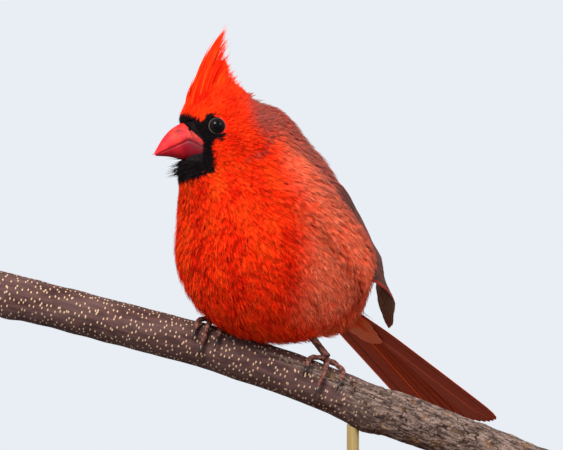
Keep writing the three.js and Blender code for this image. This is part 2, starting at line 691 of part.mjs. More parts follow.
// The room under the belly feathers that a foot and its tarsus stand in
function footRoom(foot) {
  const { inner, outer } = foot.toes;
  const sleeve = perch(2 * TOE_R + 2.7, [foot.x + inner - 2.6, foot.x + outer + 2.6], 16, 5);
  const points = [0, 0.35, 0.7, 1.1].map((s) => soleAt(foot).lerp(vec(foot.ankle), s));
  return sleeve.add(limb(points, [4.4, 3.2, 2.6, 2.5], 12)).add(thigh(foot, GAP));
}

// Display stand
function standBase() {
  const [w, d, c] = [BASE.width / 2 - BASE.bevel, BASE.depth / 2 - BASE.bevel, BASE.corner];
  const outline = new THREE.Shape();
  outline.moveTo(-w + c, -d);
  outline.lineTo(w - c, -d);
  outline.absarc(w - c, -d + c, c, -Math.PI / 2, 0);
  outline.absarc(w - c, d - c, c, 0, Math.PI / 2);
  outline.absarc(-w + c, d - c, c, Math.PI / 2, Math.PI);
  outline.absarc(-w + c, -d + c, c, Math.PI, 1.5 * Math.PI);
  const plate = new THREE.ExtrudeGeometry(outline, {
    depth: BASE.height - 2 * BASE.bevel,
    bevelThickness: BASE.bevel,
    bevelSize: BASE.bevel,
    bevelSegments: 1,
    curveSegments: 6,
  });
  plate.translate(0, 0, BASE.bevel);
  return solidOf(plate);
}
function rod({ x, r }) {
  const bottom = BASE.height + GAP;
  const top = along(PERCH_LINE, x);
  const shaft = new THREE.CylinderGeometry(r, r, top - bottom, 16);
  shaft.rotateX(Math.PI / 2);
  shaft.translate(x, PERCH_Y, (top + bottom) / 2);
  const collar = new THREE.CylinderGeometry(COLLAR.r - 0.8, COLLAR.r, COLLAR.height, 16);
  collar.rotateX(Math.PI / 2);
  collar.translate(x, PERCH_Y, bottom + COLLAR.height / 2);
  return solidOf(shaft).add(solidOf(collar));
}

// Colours
const coat = (colour) => new THREE.MeshStandardMaterial({ color: colour, roughness: 0.85, metalness: 0 });
const paint = {
  red: coat(0xd8240c),
  back: coat(0x9a3a2c),
  wing: coat(0x7c3a30),
  tail: coat(0x8e2a1a),
  bill: new THREE.MeshStandardMaterial({ color: 0xc8323a, roughness: 0.45, metalness: 0 }),
  eye: new THREE.MeshStandardMaterial({ color: 0x0d0908, roughness: 0.05, metalness: 0 }),
  leg: new THREE.MeshStandardMaterial({ color: 0x6b4a44, roughness: 0.6, metalness: 0 }),
  claw: new THREE.MeshStandardMaterial({ color: 0x2b1d18, roughness: 0.35, metalness: 0 }),
  bark: new THREE.MeshStandardMaterial({ color: 0x4a3430, roughness: 0.85, metalness: 0 }),
  wood: new THREE.MeshStandardMaterial({ color: 0x2a1c14, roughness: 0.4, metalness: 0 }),
  brass: new THREE.MeshStandardMaterial({ color: 0xb08d4a, roughness: 0.3, metalness: 1 }),
};

const model = new THREE.Group();
model.name = "northern_cardinal";
const nodes = [];
const put = (name, solid, material) => nodes.push([name, solid, material]);

// Clearance bodies that neighbours are cut with
const grown = fleshAt(GAP, 3.4);
const perchGrown = perch(GAP);
const headTop = above(HEAD_CUT + GAP / 2);
const neckTop = above(HEAD_CUT - GAP / 2);
const neckBottom = above(TORSO_CUT + GAP / 2);
const torsoTop = above(TORSO_CUT - GAP / 2);

const tailSolid = tail();
const torsoBare = fleshAt(0, 6.4).subtract(torsoTop);
const clearances = [perchGrown, ...Object.values(FEET).map(footRoom)];
put("torso", largest(clearances.reduce((all, room) => all.subtract(room), torsoBare)), paint.red);
put("neck", largest(fleshAt(0, 4.8).intersect(neckBottom).subtract(neckTop)), paint.red);

let headSolid = fused([fleshAt(0, 3.6).intersect(headTop), ...crest()]);
for (const side of [1, -1]) headSolid = headSolid.add(lid(side)).subtract(eyeball(side, GAP));
put("head", largest(headSolid), paint.red);
for (const [name, side] of [["left", 1], ["right", -1]]) {
  put("eye_" + name, eyeball(side, 0), paint.eye);
  put("wing_" + name, wing(side), paint.wing);
}

const headGrown = fleshAt(GAP, 2.6);
const upper = nostrils().reduce((bill, hole) => bill.subtract(hole), mandible(CULMEN, TOMIUM, GAP / 2));
put("bill_upper", largest(upper.subtract(headGrown)), paint.bill);
put("bill_lower", largest(mandible(GONYS, TOMIUM, -GAP / 2).subtract(headGrown)), paint.bill);
put("tail", largest(tailSolid.subtract(grown)), paint.tail);

for (const [name, foot] of Object.entries(FEET)) {
  const toesSolid = toes(foot);
  put("thigh_" + name, largest(thigh(foot).subtract(perchGrown)), paint.red);
  put("tarsus_" + name, tarsus(foot), paint.leg);
  put("foot_" + name, toesSolid, paint.leg);
  for (const [digit, d] of Object.entries(digits(foot)))
    put(`claw_${name}_${digit}`, claw(foot, d.spread, d.to, d.claw), paint.claw);
}

put("perch", perch(), paint.bark);
put("stand_base", standBase(), paint.wood);
RODS.forEach((spec, i) => put("stand_rod_" + (i + 1), largest(rod(spec).subtract(perchGrown)), paint.brass));

for (const [name, solid, material] of nodes) model.add(meshOf(name, solid, material));

export default model;
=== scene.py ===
# A male northern cardinal on a cut branch and a display stand.
# Lengths are millimetres in the bird's own frames (forward, left, up); MM turns them into metres.
import math

import bpy
import numpy as np
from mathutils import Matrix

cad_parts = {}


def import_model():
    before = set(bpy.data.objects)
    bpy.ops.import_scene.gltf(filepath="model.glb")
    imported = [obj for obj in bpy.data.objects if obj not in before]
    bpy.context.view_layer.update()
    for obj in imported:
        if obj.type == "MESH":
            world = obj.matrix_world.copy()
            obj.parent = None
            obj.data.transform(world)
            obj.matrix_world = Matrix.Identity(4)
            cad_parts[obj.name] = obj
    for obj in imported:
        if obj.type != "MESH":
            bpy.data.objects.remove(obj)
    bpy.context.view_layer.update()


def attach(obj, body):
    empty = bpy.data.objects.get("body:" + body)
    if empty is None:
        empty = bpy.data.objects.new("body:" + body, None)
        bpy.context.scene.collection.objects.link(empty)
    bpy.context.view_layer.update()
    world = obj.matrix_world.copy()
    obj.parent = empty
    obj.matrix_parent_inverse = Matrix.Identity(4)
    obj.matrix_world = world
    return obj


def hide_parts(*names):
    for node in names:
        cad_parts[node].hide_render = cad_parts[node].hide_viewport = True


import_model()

MM = 0.001
rng = np.random.default_rng(41)

# Where the bird sits and how it is turned
BODY_CENTRE = np.array([-4.8, 0.0, 123.5])
BODY_YAW = 45
HEAD_YAW = 72
HEAD_IN_BODY = np.array([29.0, -3.0, 54.0])

# Flesh: centre, radii, pitch in degrees, blend width
TRUNK = {
    "breast": ([9, 0, 4], [33, 34, 36], 20, 10),
    "belly": ([-5, 0, -8], [32, 33, 28.5], 6, 10),
    "flanks": ([-19, 0, 0], [25, 29.5, 22], 32, 10),
    "mantle": ([-4, 0, 25], [28, 26.5, 24.5], 42, 12),
    "rump": ([-34, 0, -11], [19, 15, 12], 34, 14),
    "vent": ([-34, 0, -21], [13, 13, 12], 34, 8),
    "crop": ([21, -2, 24], [21, 22, 19], 0, 10),
    "nape": ([10, -1, 44], [19, 17.5, 18], -20, 12),
}
HEAD = {
    "skull": ([-1, 0, 1], [16.5, 12.4, 14], 0, 8),
    "cheek": ([-6, 0, -8], [14, 15, 13], 0, 6),
    "face": ([5.5, 0, -4.5], [9.2, 6.6, 9], 0, 4),
    "chin": ([7.5, 0, -19], [8.5, 9.5, 9], 0, 7),
    "crown": ([-1, 0, 7.5], [12, 8.5, 8.6], -35, 7),
    "crest_core": ([2, 0, 16.5], [4.6, 3.2, 12], 30, 5),
}
# The plane through the neck where head feathers meet body feathers, and how far the skin lies inside
NECK_NORMAL = np.array([0.66, 0.0, 0.75]) / math.hypot(0.66, 0.75)
COAT_DEPTH = {"head": 1.0, "trunk": 1.9}
SKIN_STEP = 1.35

# The eye, and the lid's ring round it; lid_in is how far the ring lies within the eye's front
EYE = {"f": 3.0, "u": -0.3, "r": 3.7, "inset": 2.0, "lid_r": 3.3, "lid_tube": 0.21, "lid_in": 0.35,
       "bare": 0.35}
# The bill's ridge, mouth line and lower edge (forward, up), and its half width
CULMEN = [[4, 2.6], [12, 1.9], [16.6, 0.2], [20.8, -2.8], [23.6, -6.2], [26, -10.2], [27.4, -13]]
TOMIUM = [[4, -10.5], [8.4, -8.9], [11, -7.2], [13.6, -6.1], [16.1, -7.3], [19.6, -9], [23.4, -10.8],
          [26.6, -12.3]]
GONYS = [[4, -13.6], [10, -14.5], [14.1, -14.2], [20.8, -13], [26, -12.7]]
BILL_HALF_WIDTH = [[4, 8.4], [8, 8.0], [11, 7.0], [14, 5.8], [18, 4.4], [22, 3], [25, 1.6], [27.4, 0.35]]
NOSTRIL = {"f": 17.2, "u": -2.6, "painted_belly_shade": 1.15}
MOUTH_GAP = 0.12
BRISTLE_TURN = {"last": 2.75, "chin": 2.0}

# Wings: a runs from the wrist along the folded wing, b across it, up towards the back
WRIST = (10, 31)
WING_COS, WING_SIN = math.cos(math.radians(41.5)), math.sin(math.radians(41.5))
WING_TIP_A = 94
WING_FREE_L = [[0, 13], [30, 15], [48, 19], [62, 26], [73, 20.5], [84, 14.5], [94, 10.5]]
WING_TWIST = [[35, 0], [60, 40], [75, 70], [94, 84]]
WING_MIDDLE = [[60, 3], [75, 2], [94, -1]]
# Upper edge (b) at each a of the body feathers that lie over the wing, and how high they lie over it
WING_COVER = [[-10, 24], [14, 20], [22, 14], [32, 11.5], [42, 9.5], [50, 6], [58, 3], [65, -0.5], [71, -5],
              [77, -11]]
COVER_HEIGHT = 4.2
# Where the nape's feathers stand up in the head's frame, how far round it, and how high
NAPE = {"at": [-27, 0, 6], "spread": 9, "lift": 2.6}
SHINGLE = 0.16
SIDES = {"left": 1, "right": -1}

TAIL = {"f": -36, "u": -17.8, "length": 102, "fan": 1.6, "spacing": 1.1,
        "cos": math.cos(math.radians(32)), "sin": math.sin(math.radians(32))}

# Legs: radii, the clear space to the bark, and where each foot, toe and claw lies
TARSUS_R = 1.4
TOE_R = 1.15
SOLE_R = 2.1
GAP = 0.32
FEET = {
    "right": {"x": -33, "ankle": [-32, 3.4, 100.5], "hip": [4, 6, 17],
              "toes": {"inner": -4.5, "middle": -0.4, "outer": 4.8}},
    "left": {"x": 15, "ankle": [12.4, 3.4, 89.5], "hip": [-1, 4, 17],
             "toes": {"inner": -6.6, "middle": 0.6, "outer": 7.6}},
}
# Turn round the branch where a toe starts and stops, in degrees, and the claw's length
DIGITS = {"inner": (2, 60, 4.6), "middle": (4, 92, 5.2), "outer": (2, 62, 4.6), "hind": (-4, -66, 6.4)}

# The branch: its line (along, up), its radius at the two ends, and the radius that its bark is unrolled at
PERCH_LINE = [[-121, 108.5], [-73, 96], [-33, 85.6], [6, 72.5], [38, 59.4], [61, 51.4], [94, 38.6],
              [114, 30.2]]
PERCH_R = (9.4, 10)
BARK_R = 9.6
# Knots: place along the branch, turn round it in degrees, height and width
KNOTS = [(-114, 160, 1.6, 4), (37, 175, 1.5, 5), (52, 20, 0.8, 6), (-14, 70, 0.6, 8)]

# Feathers: lengths near the bill and on the head, then the body's, and what the belly's have more
HEAD_FEATHER = (2.4, 5.6)
HEAD_RISE = 1.1
BODY_FEATHER = {"length": 8.5, "longer": 4.5, "rise": 2.3, "higher": 1.2}
HALF_WIDTH_SHARE = 0.19
FEATHERS_DEEP = 17.5
ROOT_DEPTH = 0.25
ROOT_TRIES = 3.2
ROOT_APART = 0.78
# Barbs of each feather, and steps along each barb
BARBS = {"head": (7, 3), "body": (8, 4)}
COUNTS = {"crest": 340, "coverts": 150, "coverts_under": 85, "bristles": 520}
# Size of a tuft's patch in the bake map, and the most triangles in one coat piece
BAKE_PATCH = 0.003
PIECE_LIMIT = 190000


# Small helpers
def unit(v):
    return v / (np.linalg.norm(v, axis=-1, keepdims=True) + 1e-12)


def smooth(low, high, x):
    t = np.clip((x - low) / (high - low), 0, 1)
    return t * t * (3 - 2 * t)


def lerp(a, b, t):
    return a + (b - a) * t


def curve(profile, x):
    """A smooth line through [x, y] pairs."""
    xs, ys = np.array(profile, float).T
    slope = np.gradient(ys, xs)
    x = np.clip(x, xs[0], xs[-1])
    i = np.clip(np.searchsorted(xs, x, side="right") - 1, 0, len(xs) - 2)
    h = xs[i + 1] - xs[i]
    t = (x - xs[i]) / h
    a = ys[i] * (1 + 2 * t) * (1 - t) ** 2 + slope[i] * h * t * (1 - t) ** 2
    return a + ys[i + 1] * t * t * (3 - 2 * t) + slope[i + 1] * h * t * t * (t - 1)


def read(table, x, column=1):
    """A straight line between the rows of a table."""
    rows = np.array(table, float)
    return np.interp(x, rows[:, 0], rows[:, column])


def axes(yaw):
    a = math.radians(yaw)
    f = [-math.sin(a), -math.cos(a), 0.0]
    return np.array([f, [-f[1], f[0], 0.0], [0.0, 0.0, 1.0]])


BODY_AXES = axes(BODY_YAW)
HEAD_AXES = axes(HEAD_YAW)
HEAD_CENTRE = BODY_CENTRE + HEAD_IN_BODY @ BODY_AXES


def to_body(p):
    return (p - BODY_CENTRE) @ BODY_AXES.T


def to_head(p):
    return (p - HEAD_CENTRE) @ HEAD_AXES.T


def from_body(q):
    return BODY_CENTRE + np.asarray(q, float) @ BODY_AXES


def from_head(q):
    return HEAD_CENTRE + np.asarray(q, float) @ HEAD_AXES


def spots(p, size, seed):
    """Smooth random field between 0 and 1 with blotches of about the given size."""
    draw = np.random.default_rng(seed)
    total = np.zeros(p.shape[:-1])
    for _ in range(7):
        way = unit(draw.normal(size=3))
        total += np.sin(p @ way * (2 * math.pi / size) * draw.uniform(0.6, 1.5) + draw.uniform(0, 6.28))
    return np.clip(0.5 + total / 7, 0, 1)


# Distance fields
def ellipsoid(q, centre, radii, pitch):
    cos, sin = math.cos(math.radians(pitch)), math.sin(math.radians(pitch))
    d = q - np.array(centre, float)
    e = np.stack([d[..., 0] * cos + d[..., 2] * sin, d[..., 1], d[..., 2] * cos - d[..., 0] * sin], -1)
    r = np.array(radii, float)
    k0 = np.linalg.norm(e / r, axis=-1)
    k1 = np.linalg.norm(e / r**2, axis=-1) + 1e-9
    return k0 * (k0 - 1) / k1


def melt(a, b, k):
    h = np.clip(0.5 + 0.5 * (a - b) / k, 0, 1)
    return a * (1 - h) + b * h - k * h * (1 - h)


def blobs(q, table, start=None):
    d = start
    for centre, radii, pitch, blend in table.values():
        e = ellipsoid(q, centre, radii, pitch)
        d = e if d is None else melt(d, e, blend)
    return d


def trunk(p):
    return blobs(to_body(p), TRUNK)


def flesh(p):
    d = blobs(to_head(p), HEAD, trunk(p))
    for foot in FEET.values():
        centre = np.array(foot["ankle"]) + np.array(foot["hip"]) * 0.32
        d = melt(d, np.linalg.norm((p - centre) / [1, 1, 1.4], axis=-1) - 3.9, 3)
    return d


def head_share(p):
    return smooth(-26, -8, to_head(p) @ NECK_NORMAL)


def skin_field(p):
    return flesh(p) + lerp(COAT_DEPTH["trunk"], COAT_DEPTH["head"], head_share(p))


def gradient(field, p, h=0.05):
    steps = np.eye(3) * h
    return np.stack([(field(p + s) - field(p - s)) / (2 * h) for s in steps], -1)


def pulled(field, p, level, passes=3):
    """Points moved along the gradient until the field has the given level."""
    for _ in range(passes):
        g = gradient(field, p)
        p = p + g * ((level - field(p)) / (g**2).sum(-1))[..., None]
    return p


def netted(field, low, high, step):
    """Points and triangles of the surface field = 0, by surface nets."""
    n = np.ceil((high - low) / step).astype(int) + 1
    grid = low + step * np.stack(np.meshgrid(*[np.arange(k) for k in n], indexing="ij"), -1)
    v = field(grid.reshape(-1, 3)).reshape(n)
    corners = [np.array([c & 1, (c >> 1) & 1, (c >> 2) & 1]) for c in range(8)]
    cut = [v[c[0]:n[0] - 1 + c[0], c[1]:n[1] - 1 + c[1], c[2]:n[2] - 1 + c[2]] for c in corners]
    stack = np.stack(cut, -1)
    mixed = (stack < 0).any(-1) & (stack >= 0).any(-1)
    cells = np.argwhere(mixed)
    index = np.full(mixed.shape, -1)
    index[mixed] = np.arange(len(cells))
    values = stack[mixed]
    total = np.zeros((len(cells), 3))
    hits = np.zeros(len(cells))
    for a in range(8):
        for bit in (1, 2, 4):
            b = a | bit
            if b == a:
                continue
            cross = (values[:, a] < 0) != (values[:, b] < 0)
            t = np.where(cross, values[:, a] / (values[:, a] - values[:, b] + 1e-12), 0)[:, None]
            total += cross[:, None] * (corners[a] + t * (corners[b] - corners[a]))
            hits += cross
    points = pulled(field, low + step * (cells + total / hits[:, None]), 0)
    quads = []
    for axis in range(3):
        b, c = (axis + 1) % 3, (axis + 2) % 3
        here = [slice(1, k - 1) for k in n]
        there = list(here)
        here[axis] = slice(0, n[axis] - 1)
        there[axis] = slice(1, n[axis])
        inside = v[tuple(here)] < 0
        at = np.argwhere(inside != (v[tuple(there)] < 0))
        lit = inside[tuple(at.T)]
        offset = np.ones(3, int)
        offset[axis] = 0
        at = at + offset
        s, t = np.eye(3, dtype=int)[b], np.eye(3, dtype=int)[c]
        quad = np.stack([index[tuple((at - o).T)] for o in (s + t, t, 0 * s, s)], -1)
        quads.append(np.where(lit[:, None], quad, quad[:, ::-1]))
    quads = np.concatenate(quads)
    return points, np.concatenate([quads[:, [0, 1, 2]], quads[:, [0, 2, 3]]])


# Meshes
def placed(name, data):
    made = bpy.data.objects.new(name, data)
    bpy.context.scene.collection.objects.link(made)
    return made


def piece(name, shape, material, uv=None):
    """A visible piece from its points, triangles and marks."""
    points, triangles, marks = shape
    mesh = bpy.data.meshes.new(name)
    mesh.vertices.add(len(points))
    mesh.vertices.foreach_set("co", (points * MM).astype(np.float32).ravel())
    flat = triangles.astype(np.int32).ravel()
    mesh.loops.add(len(flat))
    mesh.loops.foreach_set("vertex_index", flat)
    mesh.polygons.add(len(flat) // 3)
    mesh.polygons.foreach_set("loop_start", np.arange(0, len(flat), 3, dtype=np.int32))
    for key, values in marks.items():
        layer = mesh.attributes.new(key, "FLOAT", "POINT")
        layer.data.foreach_set("value", values.astype(np.float32).ravel())
    if uv is not None:
        layer = mesh.uv_layers.new(name="OFBake")
        layer.data.foreach_set("uv", uv[flat].astype(np.float32).ravel())
    mesh.update()
    mesh.shade_smooth()
    mesh.materials.append(material)
    made = placed(name, mesh)
    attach(made, "root")
    return made


def joined(parts):
    """Several (points, triangles, marks) as one."""
    points = np.concatenate([part[0] for part in parts])
    starts = np.cumsum([0] + [len(part[0]) for part in parts[:-1]])
    triangles = np.concatenate([part[1] + start for part, start in zip(parts, starts)])
    marks = {key: np.concatenate([part[2][key] for part in parts]) for key in parts[0][2]}
    return points, triangles, marks


def outward(points, triangles):
    a, b, c = (points[triangles[:, i]] for i in range(3))
    centre = points.mean(0)
    volume = np.einsum("ij,ij->", a - centre, np.cross(b - centre, c - centre))
    return triangles if volume > 0 else triangles[:, ::-1]


def grid_faces(rows, sides, loop=False):
    """Triangles between rows of equal sides; with loop, the last row joins the first."""
    i, j = np.meshgrid(np.arange(rows if loop else rows - 1), np.arange(sides), indexing="ij")
    here, there = i * sides, (i + 1) % rows * sides
    a, b = here + j, here + (j + 1) % sides
    c, d = there + j, there + (j + 1) % sides
    return np.concatenate([np.stack(face, -1).reshape(-1, 3) for face in ((a, b, d), (a, d, c))])


def tube_faces(rings, sides):
    """Triangles over rings of equal sides, closed at both ends."""
    k = np.arange(1, sides - 1)
    last = (rings - 1) * sides
    caps = [np.stack([0 * k, k + 1, k], -1), np.stack([0 * k + last, last + k, last + k + 1], -1)]
    return np.concatenate([grid_faces(rings, sides)] + caps)


def tube(points, radii, sides):
    """A round limb through the points, with a radius at each."""
    way = unit(np.gradient(points, axis=0))
    side = unit(np.cross(way, [0.02, 0.31, 0.95]))
    other = np.cross(way, side)
    angle = np.linspace(0, 2 * math.pi, sides, endpoint=False)
    ring = side[:, None] * np.cos(angle)[None, :, None] + other[:, None] * np.sin(angle)[None, :, None]
    verts = (points[:, None] + ring * radii[:, None, None]).reshape(-1, 3)
    return verts, outward(verts, tube_faces(len(points), sides))


# The coat: which way it lies, its sizes and its markings
BILL_ROOT = np.array([14.0, 0.0, -6.0])
TRUNK_LIE = np.array([-0.6, 0.0, -0.8])


def lie(p, n):
    q = to_head(p)
    share = head_share(p)[..., None]
    d = unit((q - BILL_ROOT) @ HEAD_AXES) * share + TRUNK_LIE @ BODY_AXES * (1 - share)
    return unit(d - (d * n).sum(-1, keepdims=True) * n)


def wing_plan(a, b):
    return WRIST[0] - a * WING_COS - b * WING_SIN, WRIST[1] - a * WING_SIN + b * WING_COS


def in_wing(p):
    """Place of a point in the wing's plan (a along it, b across it) and its side."""
    q = to_body(p)
    df, du = q[..., 0] - WRIST[0], q[..., 2] - WRIST[1]
    return -df * WING_COS - du * WING_SIN, -df * WING_SIN + du * WING_COS, q[..., 1]


# Black mask round the bill: how far back it reaches (forward coordinate) at each height
MASK_BACK = [[-29, 10], [-24, 6], [-21, 4.8], [-18, 4.6], [-13, 5.0], [-8, 5.0], [-4, 5.6], [-1, 7.4],
             [1.2, 10.4], [3.4, 13.4]]
# Painted shadow line where the feathers part behind the ear coverts: part of an ellipse in the head's frame
EAR_SHADOW_ARC = {"f": -6.5, "u": -3, "radius_f": 10.2, "radius_u": 9.6, "line": 0.07}


def markings(p, n):
    """Marks between 0 and 1 for black mask, grey back with a painted shadow line behind the ear coverts,
    dull flank and pale vent.
    """
    q = to_head(p)
    f, u = q[..., 0], q[..., 2]
    body_f, body_l, body_u = np.moveaxis(to_body(p), -1, 0)
    out = n @ BODY_AXES.T
    share = head_share(p)
    # Black: in front of the mask's back edge, over the chin's slanting edge, and round the eye
    chin_edge = -22.6 + 0.45 * (16 - f)
    mask = smooth(-0.7, 0.7, f - curve(MASK_BACK, u)) * smooth(4.2, 2.6, u) * smooth(-1, 1, u - chin_edge)
    mask = mask * (share > 0.02)
    around_eye = np.hypot(f - EYE["f"] - 1.2, u - EYE["u"] + 0.6)
    brow = smooth(3.9, 2.9, u) * smooth(-2, 1.5, f - EYE["f"] + 1.5)
    mask = np.maximum(mask, smooth(5.9, 4.7, around_eye) * brow)
    # Grey: what faces back and up below the neck, and a painted shadow line where the feathers part behind
    # the ear coverts
    back = out[..., 0] * -0.72 + out[..., 2] * 0.69
    first = lerp(0.24, 0.02, smooth(8, 30, body_u))
    grey = smooth(first, first + 0.4, back) * smooth(6, -8, q @ NECK_NORMAL)
    ear = np.hypot((f - EAR_SHADOW_ARC["f"]) / EAR_SHADOW_ARC["radius_f"], (u - EAR_SHADOW_ARC["u"]) / EAR_SHADOW_ARC["radius_u"])
    painted_ear_shadow = np.exp(-((ear - 1) / EAR_SHADOW_ARC["line"]) ** 2) * smooth(-4, -9, f) * smooth(4, -1, u)
    grey = np.maximum(grey, 0.75 * painted_ear_shadow * (share > 0.1))
    # Dull: what faces sideways behind the breast. Pale: low behind the legs
    flank = smooth(0.5, 0.85, np.abs(out[..., 1])) * smooth(21, 5, body_f) * smooth(-36, -12, body_u)
    pale = smooth(-18, -26, body_u) * smooth(2, -14, body_f) * smooth(26, 14, np.abs(body_l))
    return {"black": mask, "grey": grey, "dull": flank * (1 - mask), "pale": pale}


def feather_size(p):
    """Length, half width and how far the tip stands off the skin."""
    share = head_share(p)
    near_bill = np.linalg.norm(to_head(p) - [12, 0, -6], axis=-1)
    low = smooth(-2, -28, to_body(p)[..., 2])
    body = BODY_FEATHER["length"] + BODY_FEATHER["longer"] * low
    length = lerp(body, lerp(*HEAD_FEATHER, smooth(5, 24, near_bill)), share)
    rise = lerp(BODY_FEATHER["rise"] + BODY_FEATHER["higher"] * low, HEAD_RISE, share)
    return length, length * HALF_WIDTH_SHARE, rise


def spread_roots(points, triangles, field_size):
    """Even random places on the skin, closer where feathers are small."""
    a, b, c = (points[triangles[:, i]] for i in range(3))
    area = 0.5 * np.linalg.norm(np.cross(b - a, c - a), axis=1)
    middle = (a + b + c) / 3
    spacing = field_size(middle)
    count = np.floor(area / spacing**2 * ROOT_TRIES + rng.random(len(area))).astype(int)
    which = np.repeat(np.arange(len(area)), count)
    u, v = rng.random((2, len(which)))
    flip = u + v > 1
    u[flip], v[flip] = 1 - u[flip], 1 - v[flip]
    spots_at = a[which] + u[:, None] * (b - a)[which] + v[:, None] * (c - a)[which]
    gap = spacing[which]
    # Neighbours are looked for in cells that are wider than any gap
    cell = 4.0
    taken = {}
    kept = []
    for i in rng.permutation(len(which)):
        p = spots_at[i]
        key = tuple((p // cell).astype(int))
        reach = gap[i] * ROOT_APART
        near = [q for dx in (-1, 0, 1) for dy in (-1, 0, 1) for dz in (-1, 0, 1)
                for q in taken.get((key[0] + dx, key[1] + dy, key[2] + dz), ())]
        if near:
            d = np.array(near) - p
            if (np.einsum("ij,ij->i", d, d) < reach * reach).any():
                continue
        taken.setdefault(key, []).append(p)
        kept.append(i)
    return spots_at[kept]


def wing_zone(p):
    """How surely a point is over the folded wing, and whether body feathers cover the wing there."""
    a, b, l = in_wing(p)
    inside = smooth(-9, -1, a) * smooth(82, 72, a) * smooth(-15, -8, b) * smooth(21, 15, b)
    # The first share fades where the wing ends and near the bird's middle, the second at the cover's edge
    return inside * smooth(6, 12, np.abs(l)), smooth(1.5, -1.5, b - read(WING_COVER, a))


def over_skin(p):
    """Extra height of the body feathers: over the folded wing, and where they stand up on the nape."""
    inside, covered = wing_zone(p)
    a, b, _ = in_wing(p)
    height = lerp(COVER_HEIGHT, 0.7, smooth(6, 13, b)) * smooth(78, 52, a)
    off = np.linalg.norm(to_head(p) - NAPE["at"], axis=-1) / NAPE["spread"]
    return height * inside * covered + NAPE["lift"] * np.exp(-off**2 / 2)


def feather_lines(roots, length, rise, stations, jitter=0.2):
    """Middle lines over the skin, with the way across and out at each station."""
    p = pulled(skin_field, roots, -ROOT_DEPTH + 0.8 * over_skin(roots))
    n = unit(gradient(skin_field, p))
    d = lie(p, n)
    d = unit(d + jitter * rng.normal(size=(len(p), 1)) * np.cross(n, d))
    lines, across, out = [], [], []
    for i in range(stations):
        lines.append(p)
        out.append(n)
        across.append(unit(np.cross(n, d)))
        step = (length / (stations - 1))[:, None]
        ahead = min(1, i / (stations - 1) + 1 / (stations - 1))
        height = -ROOT_DEPTH + (rise + ROOT_DEPTH) * (1 - (1 - ahead) ** 2) + over_skin(p)
        p = pulled(skin_field, p + d * step, height, 1)
        n = unit(gradient(skin_field, p))
        d = unit(d * 0.75 + 0.25 * lie(p, n))
        d = unit(d - (d * n).sum(-1, keepdims=True) * n)
    return np.stack(lines, 1), np.stack(across, 1), np.stack(out, 1)


def at_stations(values, tau):
    """Values (N, S, 3) read at tau (N, K, T) between 0 and S - 1."""
    i = np.clip(np.floor(tau).astype(int), 0, values.shape[1] - 2)
    rows = np.arange(len(values))[:, None, None]
    w = (tau - i)[..., None]
    return values[rows, i] * (1 - w) + values[rows, i + 1] * w


# Share of a barb's full width at each step, for every number of steps
LOCK_TAPER = {
    3: [0.75, 1.0, 0.0],
    4: [0.6, 1.0, 0.7, 0.0],
    5: [0.6, 1.0, 0.9, 0.55, 0.0],
    6: [0.6, 1.0, 1.0, 0.8, 0.5, 0.0],
}


def locks(lines, across, out, half, count, width, thick, steps, ragged=0.3, splay=0.5):
    """Tapered barbs in bundles: each line carries count barbs that fan out over its half width."""
    n, stations, _ = lines.shape
    half, width = np.reshape(half, (-1, 1, 1)), np.reshape(width, (-1, 1, 1))
    x = (np.linspace(-1, 1, count) + rng.uniform(-0.6, 0.6, (n, count)) / count)[..., None]
    reach = 1 - 0.34 * np.abs(x) ** 1.7 - ragged * rng.random((n, count, 1))
    tau = reach * np.linspace(0, 1, steps) * (stations - 1)
    way_out, way_across = at_stations(out, tau), at_stations(across, tau)
    s = tau / (stations - 1)
    fan = (0.3 + 0.7 * smooth(0, 0.75, s)) * (1 + splay * s * s * 0.3)
    sag = 0.18 * x**2 * half
    offset = x * half * fan + rng.normal(0, 0.3, (n, count, 1)) * half * s * s
    lift = rng.uniform(-0.25, 0.45, (n, count, 1)) * (0.2 + s)
    centre = at_stations(lines, tau) + way_across * offset[..., None] + way_out * (lift - sag)[..., None]
    taper = np.array(LOCK_TAPER[steps])
    w = (width * taper * np.ones((n, count, steps)))[..., None]
    ridge = centre + way_out * (thick * taper)[:, None]
    body = np.stack([centre - way_across * w, centre + way_across * w, ridge], 3)[:, :, :-1]
    points = np.concatenate([body.reshape(n * count, -1, 3), centre[:, :, -1:].reshape(n * count, 1, 3)], 1)
    faces = []
    for i in range(steps - 2):
        for j in range(3):
            a, b = 3 * i + j, 3 * i + (j + 1) % 3
            faces += [[a, b, b + 3], [a, b + 3, a + 3]]
    base = 3 * (steps - 2)
    faces += [[base + j, base + (j + 1) % 3, base + 3] for j in range(3)] + [[0, 2, 1]]
    faces = outward(points[0], np.array(faces))
    per = points.shape[1]
    triangles = (np.arange(n * count)[:, None, None] * per + faces).reshape(-1, 3)
    along = np.broadcast_to(s, (n, count, steps))
    side = np.broadcast_to(x, (n, count, steps))
    per_point = [np.repeat(v[:, :, :-1], 3, axis=2).reshape(n * count, -1) for v in (along, side)]
    tips = [v[:, :, -1].reshape(n * count, 1) for v in (along, side)]
    along, side = (np.concatenate([a, b], 1).ravel() for a, b in zip(per_point, tips))
    owner = np.repeat(np.arange(n), count * per)
    barb = np.repeat(rng.random(n * count), per)
    return points.reshape(-1, 3), triangles, {"along": along, "side": side, "owner": owner, "barb": barb}


def bake_patch(roots, centre, marks):
    """Each tuft's patch on a round unwrap of the skin about a centre."""
    way = unit(roots - centre)
    place = np.stack([np.arctan2(way[:, 1], way[:, 0]) / (2 * math.pi) + 0.5,
                      np.arcsin(np.clip(way[:, 2], -1, 1)) / math.pi + 0.5], -1) * 0.99 + 0.005
    inner = np.stack([marks["side"] * 0.5, marks["along"] - 0.5], -1)
    return place[marks["owner"]] + inner * BAKE_PATCH


def loose_marks(count, **some):
    """Marks of loose feathers: only those markings that are given, and a random tone for each."""
    none = {key: np.zeros(count) for key in ("black", "grey", "dull", "pale")}
    return {**none, "tone": rng.random(count), **some}


